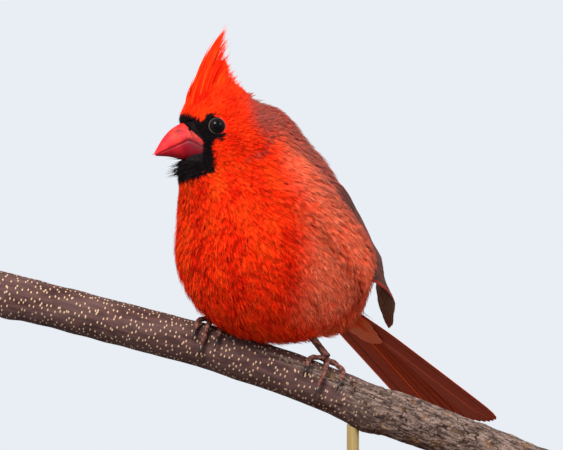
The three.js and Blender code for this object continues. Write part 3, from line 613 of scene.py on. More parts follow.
def coat(name, roots, made, per_feather, centre):
    """Coat meshes of at most PIECE_LIMIT triangles each, with marks for every feather."""
    points, triangles, marks = made
    uv = bake_patch(roots, centre, marks)
    values = {key: value[marks["owner"]] for key, value in per_feather.items()}
    values.update({key: marks[key] for key in ("along", "barb")})
    points_each, faces_each = len(points) // len(roots), len(triangles) // len(roots)
    size = PIECE_LIMIT // faces_each
    for part, first in enumerate(range(0, len(roots), size)):
        last = min(first + size, len(roots))
        chosen = slice(first * points_each, last * points_each)
        faces = triangles[first * faces_each:last * faces_each] - first * points_each
        some = {key: value[chosen] for key, value in values.items()}
        label = name if size >= len(roots) else f"{name}_{part + 1}"
        piece(label, (points[chosen], faces, some), FEATHERS, uv[chosen])


# Materials; their colours are eight-bit display values for red, green and blue
SOCKETS = {"specular": "Specular IOR Level", "coat": "Coat Weight", "coat_roughness": "Coat Roughness",
           "metallic": "Metallic"}


def rgb(*values):
    """A display colour as the linear colour that a socket holds."""
    linear = [((v / 255 + 0.055) / 1.055) ** 2.4 if v > 10 else v / 255 / 12.92 for v in values]
    return (*linear, 1.0)


class Nodes:
    """A short way to write a node tree."""

    def __init__(self, name):
        self.material = bpy.data.materials.new(name)
        self.material.use_nodes = True
        self.tree = self.material.node_tree
        self.shader = self.tree.nodes["Principled BSDF"]

    def link(self, value, socket):
        """A socket is linked, a tuple is a display colour, and anything else is set as it is."""
        if isinstance(value, bpy.types.NodeSocket):
            self.tree.links.new(value, socket)
        else:
            socket.default_value = rgb(*value) if isinstance(value, tuple) else value

    def add(self, kind, output, inputs=None, **settings):
        node = self.tree.nodes.new("ShaderNode" + kind)
        for key, value in settings.items():
            setattr(node, key, value)
        for key, value in (inputs or {}).items():
            self.link(value, node.inputs[key])
        return node.outputs[output]

    def mark(self, name):
        return self.add("Attribute", "Fac", attribute_name=name)

    def math(self, kind, a, b=0.0):
        return self.add("Math", 0, {0: a, 1: b}, operation=kind)

    def times(self, a, b):
        return self.math("MULTIPLY", a, b)

    def plus(self, a, b):
        return self.math("ADD", a, b)

    def mix(self, share, under, over):
        return self.add("Mix", 2, {"Factor": share, 6: under, 7: over}, data_type="RGBA")

    def band(self, value, low, high):
        limits = {"Value": value, "From Min": low, "From Max": high}
        return self.add("MapRange", "Result", limits, interpolation_type="SMOOTHSTEP")

    def tint(self, under, over, value, low, high, most=1.0):
        """The colour over laid on under as value goes from low to high, by most at its fullest."""
        share = self.band(value, low, high)
        return self.mix(share if most == 1 else self.times(share, most), under, over)

    def place(self, scale=(1, 1, 1)):
        coordinates = self.add("TexCoord", "Object")
        return self.add("Mapping", "Vector", {"Vector": coordinates, "Scale": list(scale)})

    def noise(self, scale, detail=3.0, vector=None, roughness=0.55, distortion=0.0):
        return self.add("TexNoise", "Fac", {"Scale": scale, "Detail": detail, "Roughness": roughness,
                                            "Distortion": distortion, "Vector": vector or self.place()})

    def combine(self, x, y, z=0.0):
        return self.add("CombineXYZ", 0, {0: x, 1: y, 2: z})

    def bump(self, height, distance, strength):
        normal = self.add("Bump", "Normal", {"Strength": strength, "Distance": distance, "Height": height})
        self.link(normal, self.shader.inputs["Normal"])

    def finish(self, colour, roughness, **settings):
        self.link(colour, self.shader.inputs["Base Color"])
        self.link(roughness, self.shader.inputs["Roughness"])
        for key, value in settings.items():
            self.shader.inputs[SOCKETS[key]].default_value = value
        return self.material


def plumage():
    """Body feathers: deep red roots, orange-red barbs with pale tips, and the bird's markings over them,
    with painted shade on the lower belly and behind the ear coverts.
    """
    n = Nodes("plumage")
    along, barb, tone = n.mark("along"), n.mark("barb"), n.mark("tone")
    red = n.tint((226, 14, 0), (255, 44, 4), along, 0.05, 0.6)
    red = n.tint(red, (255, 92, 30), barb, 0.45, 1.0, 0.55)
    # Low tone darkens the red: a random tone for each feather, and on the body coat also painted shade on
    # the lower belly
    red = n.tint(red, (210, 4, 0), tone, 0.5, 0.05, 0.62)
    red = n.tint(red, (255, 86, 16), tone, 0.6, 0.95, 0.4)
    dull = n.tint((250, 82, 44), (255, 132, 88), along, 0.1, 0.8)
    dull = n.tint(dull, (255, 176, 144), barb, 0.6, 1.0, 0.45)
    grey = n.tint((186, 62, 44), (134, 98, 90), along, 0.2, 0.8)
    grey = n.tint(grey, (190, 76, 56), barb, 0.7, 1.0, 0.5)
    colour = n.mix(n.times(n.mark("dull"), 0.8), red, dull)
    # The grey mark is the grey-brown back, and also a painted shadow line behind the ear coverts
    colour = n.mix(n.times(n.mark("grey"), 0.9), colour, grey)
    colour = n.mix(n.times(n.mark("pale"), 0.4), colour, (250, 124, 72))
    black = n.mix(barb, (10, 8, 9), (32, 24, 26))
    colour = n.tint(colour, black, n.mark("black"), 0.42, 0.58)
    return n.finish(colour, 0.9, specular=0.06)


VANE_COLOURS = {
    "wing_vanes": {"outer": (140, 40, 28), "inner": (66, 38, 30), "tip": (92, 64, 50),
                   "shaft": (36, 20, 16), "below": (122, 100, 76), "rim": (196, 162, 128)},
    "tail_vanes": {"outer": (186, 38, 20), "inner": (122, 36, 24), "tip": (112, 42, 26),
                   "shaft": (60, 22, 14), "below": (164, 60, 30), "rim": (255, 98, 40)},
    "covert_vanes": {"outer": (216, 92, 54), "inner": (190, 74, 42), "tip": (206, 92, 58),
                     "shaft": (150, 56, 32), "below": (232, 112, 68), "rim": (244, 140, 92)},
}


def vane_material(name):
    """Wing and tail feathers: a bright outer edge, a dusky inner vane, a shaft and fine slanting barbs."""
    n = Nodes(name)
    part = VANE_COLOURS[name]
    edge, along, tone = n.mark("edge"), n.mark("along"), n.mark("tone")
    off_middle = n.math("ABSOLUTE", edge)
    colour = n.tint(part["inner"], part["outer"], off_middle, 0.45, 0.9)
    colour = n.tint(colour, part["tip"], along, 0.82, 1.0, 0.7)
    colour = n.tint(colour, part["outer"], tone, 0.4, 1.0, 0.18)
    rim_share = n.times(n.band(off_middle, 0.84, 0.98), n.mark("rimmed"))
    colour = n.mix(n.mark("under"), colour, n.mix(rim_share, part["below"], part["rim"]))
    slant = n.math("SUBTRACT", n.times(along, n.mark("length")), n.times(off_middle, 2.2))
    streak = n.noise(1.0, 2.0, n.combine(n.times(slant, 2.6), n.times(edge, 0.8), tone))
    colour = n.tint(colour, (30, 12, 10), streak, 0.5, 0.75, 0.3)
    rachis = n.band(n.math("ABSOLUTE", n.plus(edge, 0.16)), 0.09, 0.03)
    colour = n.mix(n.times(rachis, 0.75), colour, part["shaft"])
    lines = n.math("SINE", n.times(slant, 11.0))
    n.bump(n.plus(n.times(lines, 0.3), n.times(rachis, 1.6)), 0.00012, 0.6)
    return n.finish(colour, 0.7, specular=0.06)


# Horn and bare skin: three colours, size of the clouds, roughness, clear coat
HORNS = {
    "bill_upper_horn": ((180, 20, 32), (204, 50, 30), (92, 46, 50), 190, 0.45, 0.0),
    # The lower mandible's horn is a darker copy of the upper's: painted shade on the underside of the bill
    "bill_lower_horn_shaded": ((128, 2, 20), (156, 16, 26), (76, 34, 40), 190, 0.5, 0.0),
    "leg_skin": ((76, 38, 34), (134, 88, 74), (42, 22, 20), 500, 0.6, 0.0),
    "claw_horn": ((38, 26, 24), (76, 56, 50), (20, 14, 14), 700, 0.32, 0.3),
}


def horn(name):
    """Bill, claws and leg skin: a base colour clouded with a second, and dusky with a third where the dusk
    mark says: painted shade on the bill, dark joints between the scutes on the legs, and darker towards the
    tip on the claws.
    """
    n = Nodes(name)
    base, second, third, scale, roughness, clear_coat = HORNS[name]
    cloud = n.noise(scale, 4.0)
    fine = n.noise(scale * 7, 3.0)
    colour = n.tint(base, second, cloud, 0.4, 0.68)
    colour = n.mix(n.times(n.mark("dusk"), n.band(fine, 0.3, 0.6)), colour, third)
    n.bump(n.plus(fine, n.times(cloud, 0.6)), 0.00008, 0.5)
    return n.finish(colour, n.plus(roughness, n.times(fine, 0.12)), coat=clear_coat, specular=0.14)


def eye_material():
    n = Nodes("eye_dark")
    ring = n.mark("ring")
    colour = n.tint((2, 2, 2), (15, 9, 7), ring, 0.5, 0.58)
    colour = n.tint(colour, (6, 4, 4), ring, 0.86, 0.98)
    return n.finish(colour, 0.12, specular=0.09)


def lid_material():
    n = Nodes("eye_lid")
    grain = n.noise(2400, 2.0)
    n.bump(grain, 0.0001, 0.8)
    return n.finish(n.mix(grain, (40, 33, 31), (82, 72, 68)), 0.9)


def bark_material():
    """Smooth purple-brown bark with pale lenticels that turns rough and fissured down the branch."""
    n = Nodes("bark_skin")
    rough, length, arc = n.mark("rough"), n.mark("lengthwise"), n.mark("arc")

    def unrolled(lengthwise, round_it):
        return n.combine(n.times(length, lengthwise), n.times(arc, round_it))

    grain = unrolled(0.12, 0.5)
    fine = n.noise(1.0, 4.0, unrolled(0.5, 1.6))
    smooth_bark = n.tint((42, 24, 22), (86, 56, 52), n.noise(1.0, 5.0, grain), 0.32, 0.68)
    smooth_bark = n.mix(n.times(n.mark("worn"), 0.45), smooth_bark, (116, 88, 84))
    patches = n.noise(1.3, 6.0, grain, 0.7, 0.6)
    rough_bark = n.tint((60, 46, 40), (140, 116, 106), patches, 0.4, 0.62)
    rough_bark = n.tint(rough_bark, (38, 24, 18), n.noise(2.6, 5.0, grain, 0.7, 0.8), 0.52, 0.64)
    # Painted shade in the fissures: the crack mark darkens the rough bark where its height is cut in
    rough_bark = n.tint(rough_bark, (40, 24, 16), n.mark("crack"), 0.35, 0.8)
    rough_bark = n.tint(rough_bark, (140, 98, 54), n.mark("ochre"), 0.45, 0.85, 0.6)
    colour = n.mix(rough, smooth_bark, rough_bark)
    colour = n.mix(n.times(fine, 0.35), colour, (34, 20, 18))
    cells = n.add("TexVoronoi", "Distance", {"Scale": 1.0, "Vector": unrolled(1 / 1.9, 1 / 3.6)},
                  voronoi_dimensions="2D")
    smooth_share = n.math("SUBTRACT", 1.0, n.times(rough, 0.85))
    lenticel = n.times(n.band(cells, 0.21, 0.13), smooth_share)
    colour = n.mix(lenticel, colour, (186, 154, 124))
    rings = n.math("SINE", n.times(n.mark("wood_r"), 9.0))
    colour = n.mix(n.mark("wood"), colour, n.tint((176, 140, 100), (140, 104, 70), rings, 0.2, 0.9))
    n.bump(n.plus(n.plus(fine, n.times(patches, rough)), lenticel), 0.00035, 0.8)
    return n.finish(colour, 0.9, specular=0.15)


def wood_material():
    n = Nodes("dark_walnut")
    grain = n.noise(90, 6.0, n.place((0.08, 1, 1)), 0.6, 1.2)
    pore = n.noise(1500, 2.0, n.place((0.05, 1, 1)))
    colour = n.tint((62, 38, 26), (118, 78, 52), grain, 0.35, 0.65)
    colour = n.tint(colour, (34, 20, 14), pore, 0.55, 0.7, 0.6)
    n.bump(pore, 0.0001, 0.35)
    return n.finish(colour, 0.38, coat=0.3, coat_roughness=0.25)


def brass_material():
    n = Nodes("brushed_brass")
    lines = n.noise(900, 3.0, n.place((1, 1, 0.06)))
    n.bump(lines, 0.00005, 0.3)
    colour = n.mix(lines, (188, 152, 92), (222, 190, 128))
    return n.finish(colour, n.plus(0.22, n.times(lines, 0.18)), metallic=1.0)


FEATHERS = plumage()
WING_VANES, TAIL_VANES, COVERT_VANES = (vane_material(name) for name in VANE_COLOURS)
BILL_UPPER, BILL_LOWER_SHADED, LEG, CLAW = (horn(name) for name in HORNS)
BARK = bark_material()


# Skin
SKIN_BOX = (np.array([-66.0, -66.0, 64.0]), np.array([64.0, 66.0, 222.0]))


def marks_at(points, normals):
    marks = markings(points, normals)
    out = normals @ BODY_AXES.T
    # Painted shade: low on the belly, where it faces forward and to the bird's left, the tone is lowered, so
    # the red there is darker
    painted_belly_shade = smooth(14, -20, to_body(points)[..., 2]) * smooth(0.35, 0.95, out @ [0.5, 0.86, 0])
    marks["tone"] = spots(points, 11, 5) * (1 - 0.5 * painted_belly_shade)
    return marks


skin_points, skin_triangles = netted(skin_field, *SKIN_BOX, SKIN_STEP)
skin_triangles = outward(skin_points, skin_triangles)
skin_marks = marks_at(skin_points, unit(gradient(skin_field, skin_points)))
skin_marks["along"] = np.full(len(skin_points), 0.35)
skin_marks["barb"] = spots(skin_points, 1.6, 8)
body_skin = piece("skin", (skin_points, skin_triangles, skin_marks), FEATHERS)
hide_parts("torso", "neck", "head", "thigh_left", "thigh_right")


# Body feathers
def eye_centre(side):
    l = 20.0
    while flesh(from_head([[EYE["f"], side * l, EYE["u"]]]))[0] > 0:
        l -= 0.05
    out = unit(np.array([0.12, side, 0.02])) @ HEAD_AXES
    return from_head([EYE["f"], side * (l - EYE["inset"]), EYE["u"]]), out


def bare(p):
    """True where no feather grows: under the bill, the eyes and the middle of the wings."""
    f, l, u = np.moveaxis(to_head(p), -1, 0)
    none = (f > 8.5) & (np.abs(l) < curve(BILL_HALF_WIDTH, f))
    none &= (u < curve(CULMEN, f) - 0.4) & (u > curve(GONYS, f) + 0.4)
    for side in SIDES.values():
        none |= np.linalg.norm(p - eye_centre(side)[0], axis=-1) < EYE["r"] + EYE["bare"]
    inside, covered = wing_zone(p)
    return none | ((inside > 0.6) & (covered < 0.3))


def root_spacing(p):
    length, half, _ = feather_size(p)
    return np.sqrt(length * half * 2 / FEATHERS_DEEP)


roots = spread_roots(skin_points, skin_triangles, root_spacing)
roots = roots[~bare(roots)]
on_head = head_share(roots) > 0.5
for label, chosen, centre in (("head", roots[on_head], HEAD_CENTRE), ("body", roots[~on_head], BODY_CENTRE)):
    barbs, steps = BARBS[label]
    length, half, rise = feather_size(chosen)
    length = length * rng.uniform(0.75, 1.2, len(chosen))
    rise = rise * rng.uniform(0.6, 1.15, len(chosen))
    lines, across, out = feather_lines(chosen, length, rise, 5)
    made = locks(lines, across, out, half, barbs, half / barbs * 0.75, 0.05, steps)
    marks = marks_at(chosen + rng.normal(size=chosen.shape) * 0.35, out[:, 0])
    marks["tone"] = np.clip(marks["tone"] * 0.85 + rng.random(len(chosen)) * 0.2, 0, 1)
    coat("coat_" + label, chosen, made, marks, centre)


# Crest, from the forehead (0) to the back of the crown (1): forward and up of the strands' roots and tips
CREST_ROOT = [[0, 12.5, 7.6], [0.25, 7, 13.5], [0.5, 1.5, 17], [0.75, -6, 15], [1, -14, 9.5]]
CREST_TIP = [[0, -6.0, 44], [0.14, -6.4, 43.5], [0.28, -6.6, 37], [0.44, -7.0, 30.5], [0.6, -8.2, 24.5],
             [0.76, -12, 18], [0.88, -18, 13.5], [1, -25, 8.5]]


def crest():
    """Strands that bow out a little between root and tip; some reach the full height and most stop short."""
    count = COUNTS["crest"]
    t = np.sort(rng.random(count) ** 1.3)
    side = rng.uniform(-1, 1, count)
    root_u = read(CREST_ROOT, t, 2) - 2.6 * np.abs(side) ** 1.5 - 2.5
    root = np.stack([read(CREST_ROOT, t), side * lerp(4.6, 6.5, t), root_u], -1)
    reach = np.where(rng.random(count) < 0.4, rng.uniform(0.9, 1.02, count), rng.uniform(0.4, 0.92, count))
    tip_l = side * 1.3 + rng.normal(size=count) * 0.25
    tip = np.stack([read(CREST_TIP, t), tip_l, read(CREST_TIP, t, 2)], -1)
    tip = root + (tip - root) * reach[:, None]
    s = np.linspace(0, 1, 7)
    bow = np.sin(math.pi * s)[None, :, None] * np.array([1.9, 0, 1.3]) * (1 - 0.6 * t)[:, None, None]
    lines = root[:, None] + (tip - root)[:, None] * s[:, None] + bow
    lines[..., 1] += np.sin(math.pi * s)[None] * side[:, None] * 0.8
    out = np.broadcast_to([0.0, 1.0, 0.0], lines.shape) * np.where(side < 0, -1, 1)[:, None, None]
    across = unit(np.cross(out, unit(np.gradient(lines, axis=1)))) @ HEAD_AXES
    out = out @ HEAD_AXES
    world = from_head(lines)
    half = rng.uniform(0.9, 1.5, count)
    made = locks(world, across, out, half, 7, half * 0.19, 0.12, 6, 0.18, -1.2)
    coat("crest", world[:, 0], made, loose_marks(count, grey=smooth(0.74, 0.95, t)), HEAD_CENTRE)


crest()


# Wings
def wing_reach(f, u, free):
    """How far from the midline the folded wing lies, carried by the body where there is one."""
    low, high = np.zeros_like(f), np.full_like(f, 48.0)
    hollow = trunk(from_body(np.stack([f, low, u], -1))) > 0
    for _ in range(18):
        middle = (low + high) / 2
        inside = trunk(from_body(np.stack([f, middle, u], -1))) < 0
        low, high = np.where(inside, middle, low), np.where(inside, high, middle)
    return np.where(hollow, free, -melt(-low, -free, 5))


def wing_sheet(a, b, side):
    """Where the folded wing's inner face lies: along the body, then turning flat over the rump."""
    twist = np.radians(read(WING_TWIST, a))
    middle = read(WING_MIDDLE, a)
    f, u = wing_plan(a, middle + (b - middle) * np.cos(twist))
    free = read(WING_FREE_L, a) - (b - middle) * np.sin(twist)
    return from_body(np.stack([f, side * wing_reach(f, u, free), u], -1))


def wing_place(a, b, height, side):
    """Points over the wing's sheet at a, b, with the way out."""
    h = 1.5
    lengthwise = wing_sheet(a + h, b, side) - wing_sheet(a - h, b, side)
    crosswise = wing_sheet(a, b + h, side) - wing_sheet(a, b - h, side)
    normal = unit(np.cross(lengthwise, crosswise)) * side
    p = wing_sheet(a, b, side) + normal * height[..., None]
    for _ in range(3):
        clear = flesh(p)
        g = gradient(flesh, p)
        p = p + g * (np.clip(height - clear, 0, None) / (g**2).sum(-1))[..., None]
    return p, normal


def vanes(centre, across, out, half, along, rimmed, length, thick=0.34, camber=0.45, columns=7):
    """Closed cambered vanes over centre lines (N, S, 3); half is (S, 2), for the two edges."""
    n, stations, _ = centre.shape
    x = np.linspace(-1, 1, columns)
    width = np.where(x < 0, half[:, :1], half[:, 1:])
    span = (x * width)[..., None] * across[:, :, None]
    arch = camber * (1 - x**2) + 0.16 * np.exp(-((x + 0.16) / 0.12) ** 2)
    rim = np.clip(1 - np.abs(x) ** 6, 0.12, 1)
    top = centre[:, :, None] + span + out[:, :, None] * (arch + thick / 2 * rim)[:, None]
    low = centre[:, :, None] + span + out[:, :, None] * (arch * 0.9 - thick / 2 * rim)[:, None]
    ring = np.concatenate([top, low[:, :, ::-1]], 2)
    sides = 2 * columns
    faces = tube_faces(stations, sides)
    points = ring.reshape(n, -1, 3)
    faces = outward(points[0], faces)
    per = stations * sides
    triangles = (np.arange(n)[:, None, None] * per + faces).reshape(-1, 3)
    edge = np.broadcast_to(np.concatenate([x, x[::-1]]), (n, stations, sides))
    under = np.broadcast_to(np.repeat([0.0, 1.0], columns), (n, stations, sides))
    s = np.broadcast_to(along[:, None], (n, stations, sides))
    owner = np.repeat(np.arange(n), per)
    marks = {"edge": edge.ravel(), "under": under.ravel(), "along": s.ravel(), "tone": rng.random(n)[owner],
             "rimmed": rimmed[owner], "length": length[owner]}
    return points.reshape(-1, 3), triangles, marks


def outline(s, root, blunt):
    """Share of a feather's full width: narrow at the root, round at the tip."""
    tip = np.sqrt(np.clip(1 - (np.clip(s - blunt, 0, None) / (1 - blunt)) ** 2, 0, 1))
    return np.minimum(1, root + 2.2 * s) * np.maximum(tip, 0.05)


def wing_tier(side, count, root, tip, half, height, stations=16):
    """A tier of feathers: root, tip and height are functions of the share from first to last."""
    t = np.linspace(0, 1, count)
    s = 1 - (1 - np.linspace(0, 1, stations)) ** 1.25
    a0, b0 = (np.broadcast_to(v, t.shape) for v in root(t))
    a1, b1 = (np.broadcast_to(v, t.shape) for v in tip(t))
    jitter = rng.normal(size=count) * 0.5
    a = a0[:, None] + (a1 + jitter - a0)[:, None] * s
    b = b0[:, None] + (b1 - b0)[:, None] * s
    lift = lerp(0.8, height(t)[:, None] + 0.3 * s, np.minimum(1, s * 4))
    p, normal = wing_place(a, b, lift, side)
    wide = unit(np.cross(normal, unit(np.gradient(p, axis=1)))) * side
    across = wide * math.cos(SHINGLE) + normal * math.sin(SHINGLE)
    out = normal * math.cos(SHINGLE) - wide * math.sin(SHINGLE)
    widths = outline(s, 0.55, 0.7)[:, None] * np.array(half)
    length = np.linalg.norm(np.diff(p, axis=1), axis=-1).sum(1)
    return vanes(p, across, out, widths, s, np.full(count, 0.5), length)


def wing(side):
    """Primaries, secondaries, tertials and two tiers of coverts."""
    reach = [[0, 77], [0.5, 89], [0.76, WING_TIP_A], [0.88, WING_TIP_A - 1], [1, WING_TIP_A - 7]]
    return joined([
        wing_tier(side, 9, lambda t: (34 - 4 * t, 2 - 6 * t), lambda t: (curve(reach, t), 9 - 12.5 * t),
                  (3.7, 4.3), lambda t: 1.9 - 0.9 * t),
        wing_tier(side, 7, lambda t: (26 + 5 * t, 4 + 4 * t), lambda t: (72 - 7 * t, 5.5 + 7 * t),
                  (3.7, 4.2), lambda t: 2.0 + 0.4 * t),
        wing_tier(side, 3, lambda t: (31, 7.5 + 3 * t), lambda t: (70 - 14 * t, 8.2 + 3.6 * t),
                  (4.4, 3.9), lambda t: 2.2 + 0.3 * t),
        wing_tier(side, 10, lambda t: (17 + 5 * t, -4 + 16 * t), lambda t: (34 + 9 * t, -5 + 18 * t),
                  (2.4, 2.8), lambda t: 1.9 + 0.3 * t, 9),
        wing_tier(side, 9, lambda t: (9 + 5 * t, -4 + 15 * t), lambda t: (24 + 8 * t, -5 + 17 * t),
                  (2.4, 2.7), lambda t: 2.1 + 0.3 * t, 8),
    ])


for name, side in SIDES.items():
    made = piece("wing_vanes_" + name, wing(side), WING_VANES)
    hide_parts("wing_" + name)


# Tail
def tail_tier(count, side, length, width, start, down, stations=18):
    """Feathers side by side from the middle (first) outwards; length and down are functions of rank."""
    rank = np.arange(count)
    s = 1 - (1 - np.linspace(0, 1, stations)) ** 1.3
    d = start + s * length(rank)[:, None]
    spread = np.radians(TAIL["fan"] * (rank + 0.5))[:, None] * side
    l = side * (0.9 + rank * TAIL["spacing"])[:, None] + d * np.sin(spread)
    droop = down(rank)[:, None] + 0.25 * (2 * s - 1) ** 2
    cos, sin = TAIL["cos"], TAIL["sin"]
    f = TAIL["f"] - d * cos * np.cos(spread) - droop * sin
    u = TAIL["u"] - d * sin * np.cos(spread) - droop * cos - np.abs(l) * 0.07
    p = from_body(np.stack([f, l, u], -1))
    one = np.ones_like(d)
    across = unit(np.stack([np.sin(spread) * cos * one, one, 0 * one], -1)) @ BODY_AXES * side
    out = unit(np.stack([-sin * one, side * 0.07 * one, cos * one], -1)) @ BODY_AXES
    widths = outline(s, 0.45, 0.86)[:, None] * np.array([0.42, 0.58]) * width
    rimmed = np.where(rank == count - 1, 1.0, 0.12)
    return vanes(p, -across, out, widths, s, rimmed, np.full(count, 90.0), 0.3, 0.25)


def undertail():
    """Long smooth feathers under the root of the tail."""
    return joined([tail_tier(3, side, lambda r: 38 - 5 * r, 12, -8, lambda r: 5.0 - 0.5 * r)
                   for side in SIDES.values()])


def tail():
    """Six feathers a side; the right half lies a little lower, so the middle two don't lie in one plane."""
    return joined([tail_tier(6, side, lambda r: TAIL["length"] - 0.6 * r**1.6, 13, 0,
                             lambda r: r * 0.62 + (0 if side > 0 else 0.3))
                   for side in SIDES.values()])


piece("undertail_vanes", undertail(), COVERT_VANES)
tail_piece = piece("tail_vanes", tail(), TAIL_VANES)
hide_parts("tail")


def tail_coverts():
    """Long loose feathers over and under the root of the tail."""
    count = COUNTS["coverts"]
    under = np.arange(count) < COUNTS["coverts_under"]
    way_up = np.where(under, 1, -1)[:, None]
    cos, sin = TAIL["cos"], TAIL["sin"]
    l = rng.uniform(-8, 8, count)[:, None]
    start = rng.uniform(-12, 6, count)
    length = rng.uniform(14, 24, count) * np.where(under, 1.1, 0.8)
    s = np.linspace(0, 1, 6)
    d = start[:, None] + length[:, None] * s
    height = np.where(under, -6.2, 2.0)[:, None] + np.where(under, 2.4, -1.4)[:, None] * s
    height = height + way_up * (np.abs(l) / 8) ** 2 * 1.4
    f = TAIL["f"] - d * cos + height * sin * 0.9
    u = TAIL["u"] - d * sin + height * cos
    lines = from_body(np.stack([f, l * (1 + 0.35 * s), u], -1))
    out = np.broadcast_to(np.array([sin, 0, cos]) @ BODY_AXES, lines.shape) * -way_up[..., None]
    across = unit(np.cross(out, unit(np.gradient(lines, axis=1))))
    half = rng.uniform(1.6, 2.4, count)
    made = locks(lines, across, out, half, 11, half / 11 * 1.3, 0.1, 5)
    marks = loose_marks(count, grey=np.where(under, 0, 0.7), pale=np.where(under, 0.8, 0.0))
    coat("tail_coverts", lines[:, 0], made, marks, BODY_CENTRE)


tail_coverts()


# Bill
def mandible(outer, lift, sides=25, stations=44):
    """Half of the bill between the mouth's line and its outer ridge; the upper half has nostrils."""
    top = outer is CULMEN
    s = np.linspace(0, 1, stations) ** 0.85
    f = lerp(outer[0][0], outer[-1][0], s)
    width = curve(BILL_HALF_WIDTH, f) * (1 if top else 1.03)
    mouth = curve(TOMIUM, f) + lift
    tall = curve(outer, f) - mouth
    tall = np.maximum(tall, 0.3) if top else np.minimum(tall, -0.3)
    angle = np.linspace(0, math.pi, sides)
    l = width[:, None] * np.cos(angle) * (1 - 0.05 * np.sin(2 * angle) ** 2)
    u = mouth[:, None] + tall[:, None] * np.sin(angle) ** 0.82
    # Painted shade on the bill: the dusk mark darkens it along the mouth line near the gape and at its base
    # by the feathers
    near_mouth = smooth(2.6, 0.4, np.abs(u - mouth[:, None])) * smooth(17.5, 12.5, f)[:, None]
    dusk = near_mouth * 0.8 + smooth(14.5, 12.2, f)[:, None] * 0.4
    if top:
        dent = np.exp(-((f[:, None] - NOSTRIL["f"]) ** 2 / 2 + (u - NOSTRIL["u"]) ** 2 / 0.55))
        l = l - np.sign(l) * NOSTRIL["painted_belly_shade"] * dent
        # Painted shade in the nostril's dent
        dusk = dusk + dent
    points = from_head(np.stack([np.broadcast_to(f[:, None], l.shape), l, u], -1).reshape(-1, 3))
    marks = {"dusk": np.clip(dusk, 0, 1).ravel()}
    return points, outward(points, tube_faces(stations, sides)), marks


for name, outer, lift, material in (
        ("upper", CULMEN, MOUTH_GAP, BILL_UPPER),
        ("lower", GONYS, -MOUTH_GAP, BILL_LOWER_SHADED)):
    made = piece("bill_horn_" + name, mandible(outer, lift), material)
    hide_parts("bill_" + name)


def nasal_bristles():
    """Short black bristles over the bill's base and hair-like ones under the chin."""
    count = COUNTS["bristles"]
    last = BRISTLE_TURN["last"]
    turn = rng.uniform(-last, last, count)
    chin = np.abs(turn) > BRISTLE_TURN["chin"]
    f = lerp(13.6, 12.6, np.abs(turn) / last) + rng.normal(size=count) * 0.5
    l = 5.9 * np.sin(turn)
    u = np.where(chin, -14.4 - rng.random(count) * 6, -6.4 + 8.2 * np.cos(turn))
    f = np.where(chin, 12.2 - 0.16 * (-14 - u), f)
    l = np.where(chin, l * 1.7 + rng.normal(size=count) * 1.2, l)
    root = pulled(skin_field, from_head(np.stack([f, l, u], -1)), 0.0)
    n = unit(gradient(skin_field, root))
    down = np.array([0.85, 0, -0.5]) @ HEAD_AXES
    way = np.where(chin[:, None], unit(n * 0.45 + down * 0.75 + rng.normal(size=(count, 3)) * 0.14),
                   unit(n * 0.5 + lie(root, n) * 0.8 + rng.normal(size=(count, 3)) * 0.12))
    length = np.where(chin, rng.uniform(4.0, 9.5, count), rng.uniform(1.2, 2.8, count))
    s = np.linspace(0, 1, 4)
    lines = root[:, None] + way[:, None] * (length[:, None] * s)[..., None]
    lines[..., 2] -= 0.5 * s**2
    across = np.broadcast_to(unit(np.cross(n, way))[:, None], lines.shape)
    out = np.broadcast_to(n[:, None], lines.shape)
    made = locks(lines, across, out, np.full(count, 0.35), 3, np.full(count, 0.1), 0.08, 4)
    coat("bill_bristles", root, made, loose_marks(count, black=np.ones(count)), HEAD_CENTRE)


nasal_bristles()


# Eyes
def ball(centre, out, radius, rings=32, sides=48):
    """A ball in rings about its axis out, with how far each ring is from the axis as a mark."""
    turn = np.linspace(0, math.pi, rings)
    angle = np.linspace(0, 2 * math.pi, sides, endpoint=False)
    side = unit(np.cross(out, [0, 0, 1.0]))
    up = np.cross(side, out)
    r = np.maximum(np.sin(turn), 1e-3)
    points = (np.cos(turn)[:, None, None] * out + (r[:, None] * np.cos(angle))[..., None] * side
              + (r[:, None] * np.sin(angle))[..., None] * up) * radius + centre
    points = points.reshape(-1, 3)
    front = np.sin(turn) * (turn < 1.6)
    return points, outward(points, tube_faces(rings, sides)), {"ring": np.repeat(front, sides)}


def eye_lid(centre, out, around=72, sides=12, beads=34, bead=0.14):
    """A thin beaded ring round the eye."""
    side = unit(np.cross(out, [0, 0, 1.0]))
    up = np.cross(side, out)
    angle = np.linspace(0, 2 * math.pi, around, endpoint=False)
    middle = centre + out * (EYE["inset"] - EYE["lid_in"])
    ring = middle + EYE["lid_r"] * (
        np.cos(angle)[:, None] * side * 1.03 + np.sin(angle)[:, None] * up * 0.97)
    radius = EYE["lid_tube"] * (1 + bead * np.sin(angle * beads))
    section = np.linspace(0, 2 * math.pi, sides, endpoint=False)
    way = unit(ring - middle)
    points = ring[:, None] + radius[:, None, None] * (
        np.cos(section)[None, :, None] * way[:, None] + np.sin(section)[None, :, None] * out)
    points = points.reshape(-1, 3)
    return points, outward(points, grid_faces(around, sides, loop=True)), {}


def eyes():
    dark, rim = eye_material(), lid_material()
    for name, side in SIDES.items():
        centre, out = eye_centre(side)
        made = piece("eye_ball_" + name, ball(centre, out, EYE["r"]), dark)
        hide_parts("eye_" + name)
        piece("eye_lid_" + name, eye_lid(centre, out), rim)


eyes()


# Perch
def perch_axis(x):
    return np.stack([x, 0 * x, read(PERCH_LINE, x)], -1)


def perch_radius(x, angle):
    first, last = PERCH_LINE[0][0], PERCH_LINE[-1][0]
    r = lerp(PERCH_R[0], PERCH_R[1], (x - first) / (last - first))
    for at, turn, size, spread in KNOTS:
        arc = np.radians((angle - turn + 540) % 360 - 180) * r
        r = r + size * np.exp(-((x - at) ** 2 + arc**2) / (2 * spread**2))
    return r


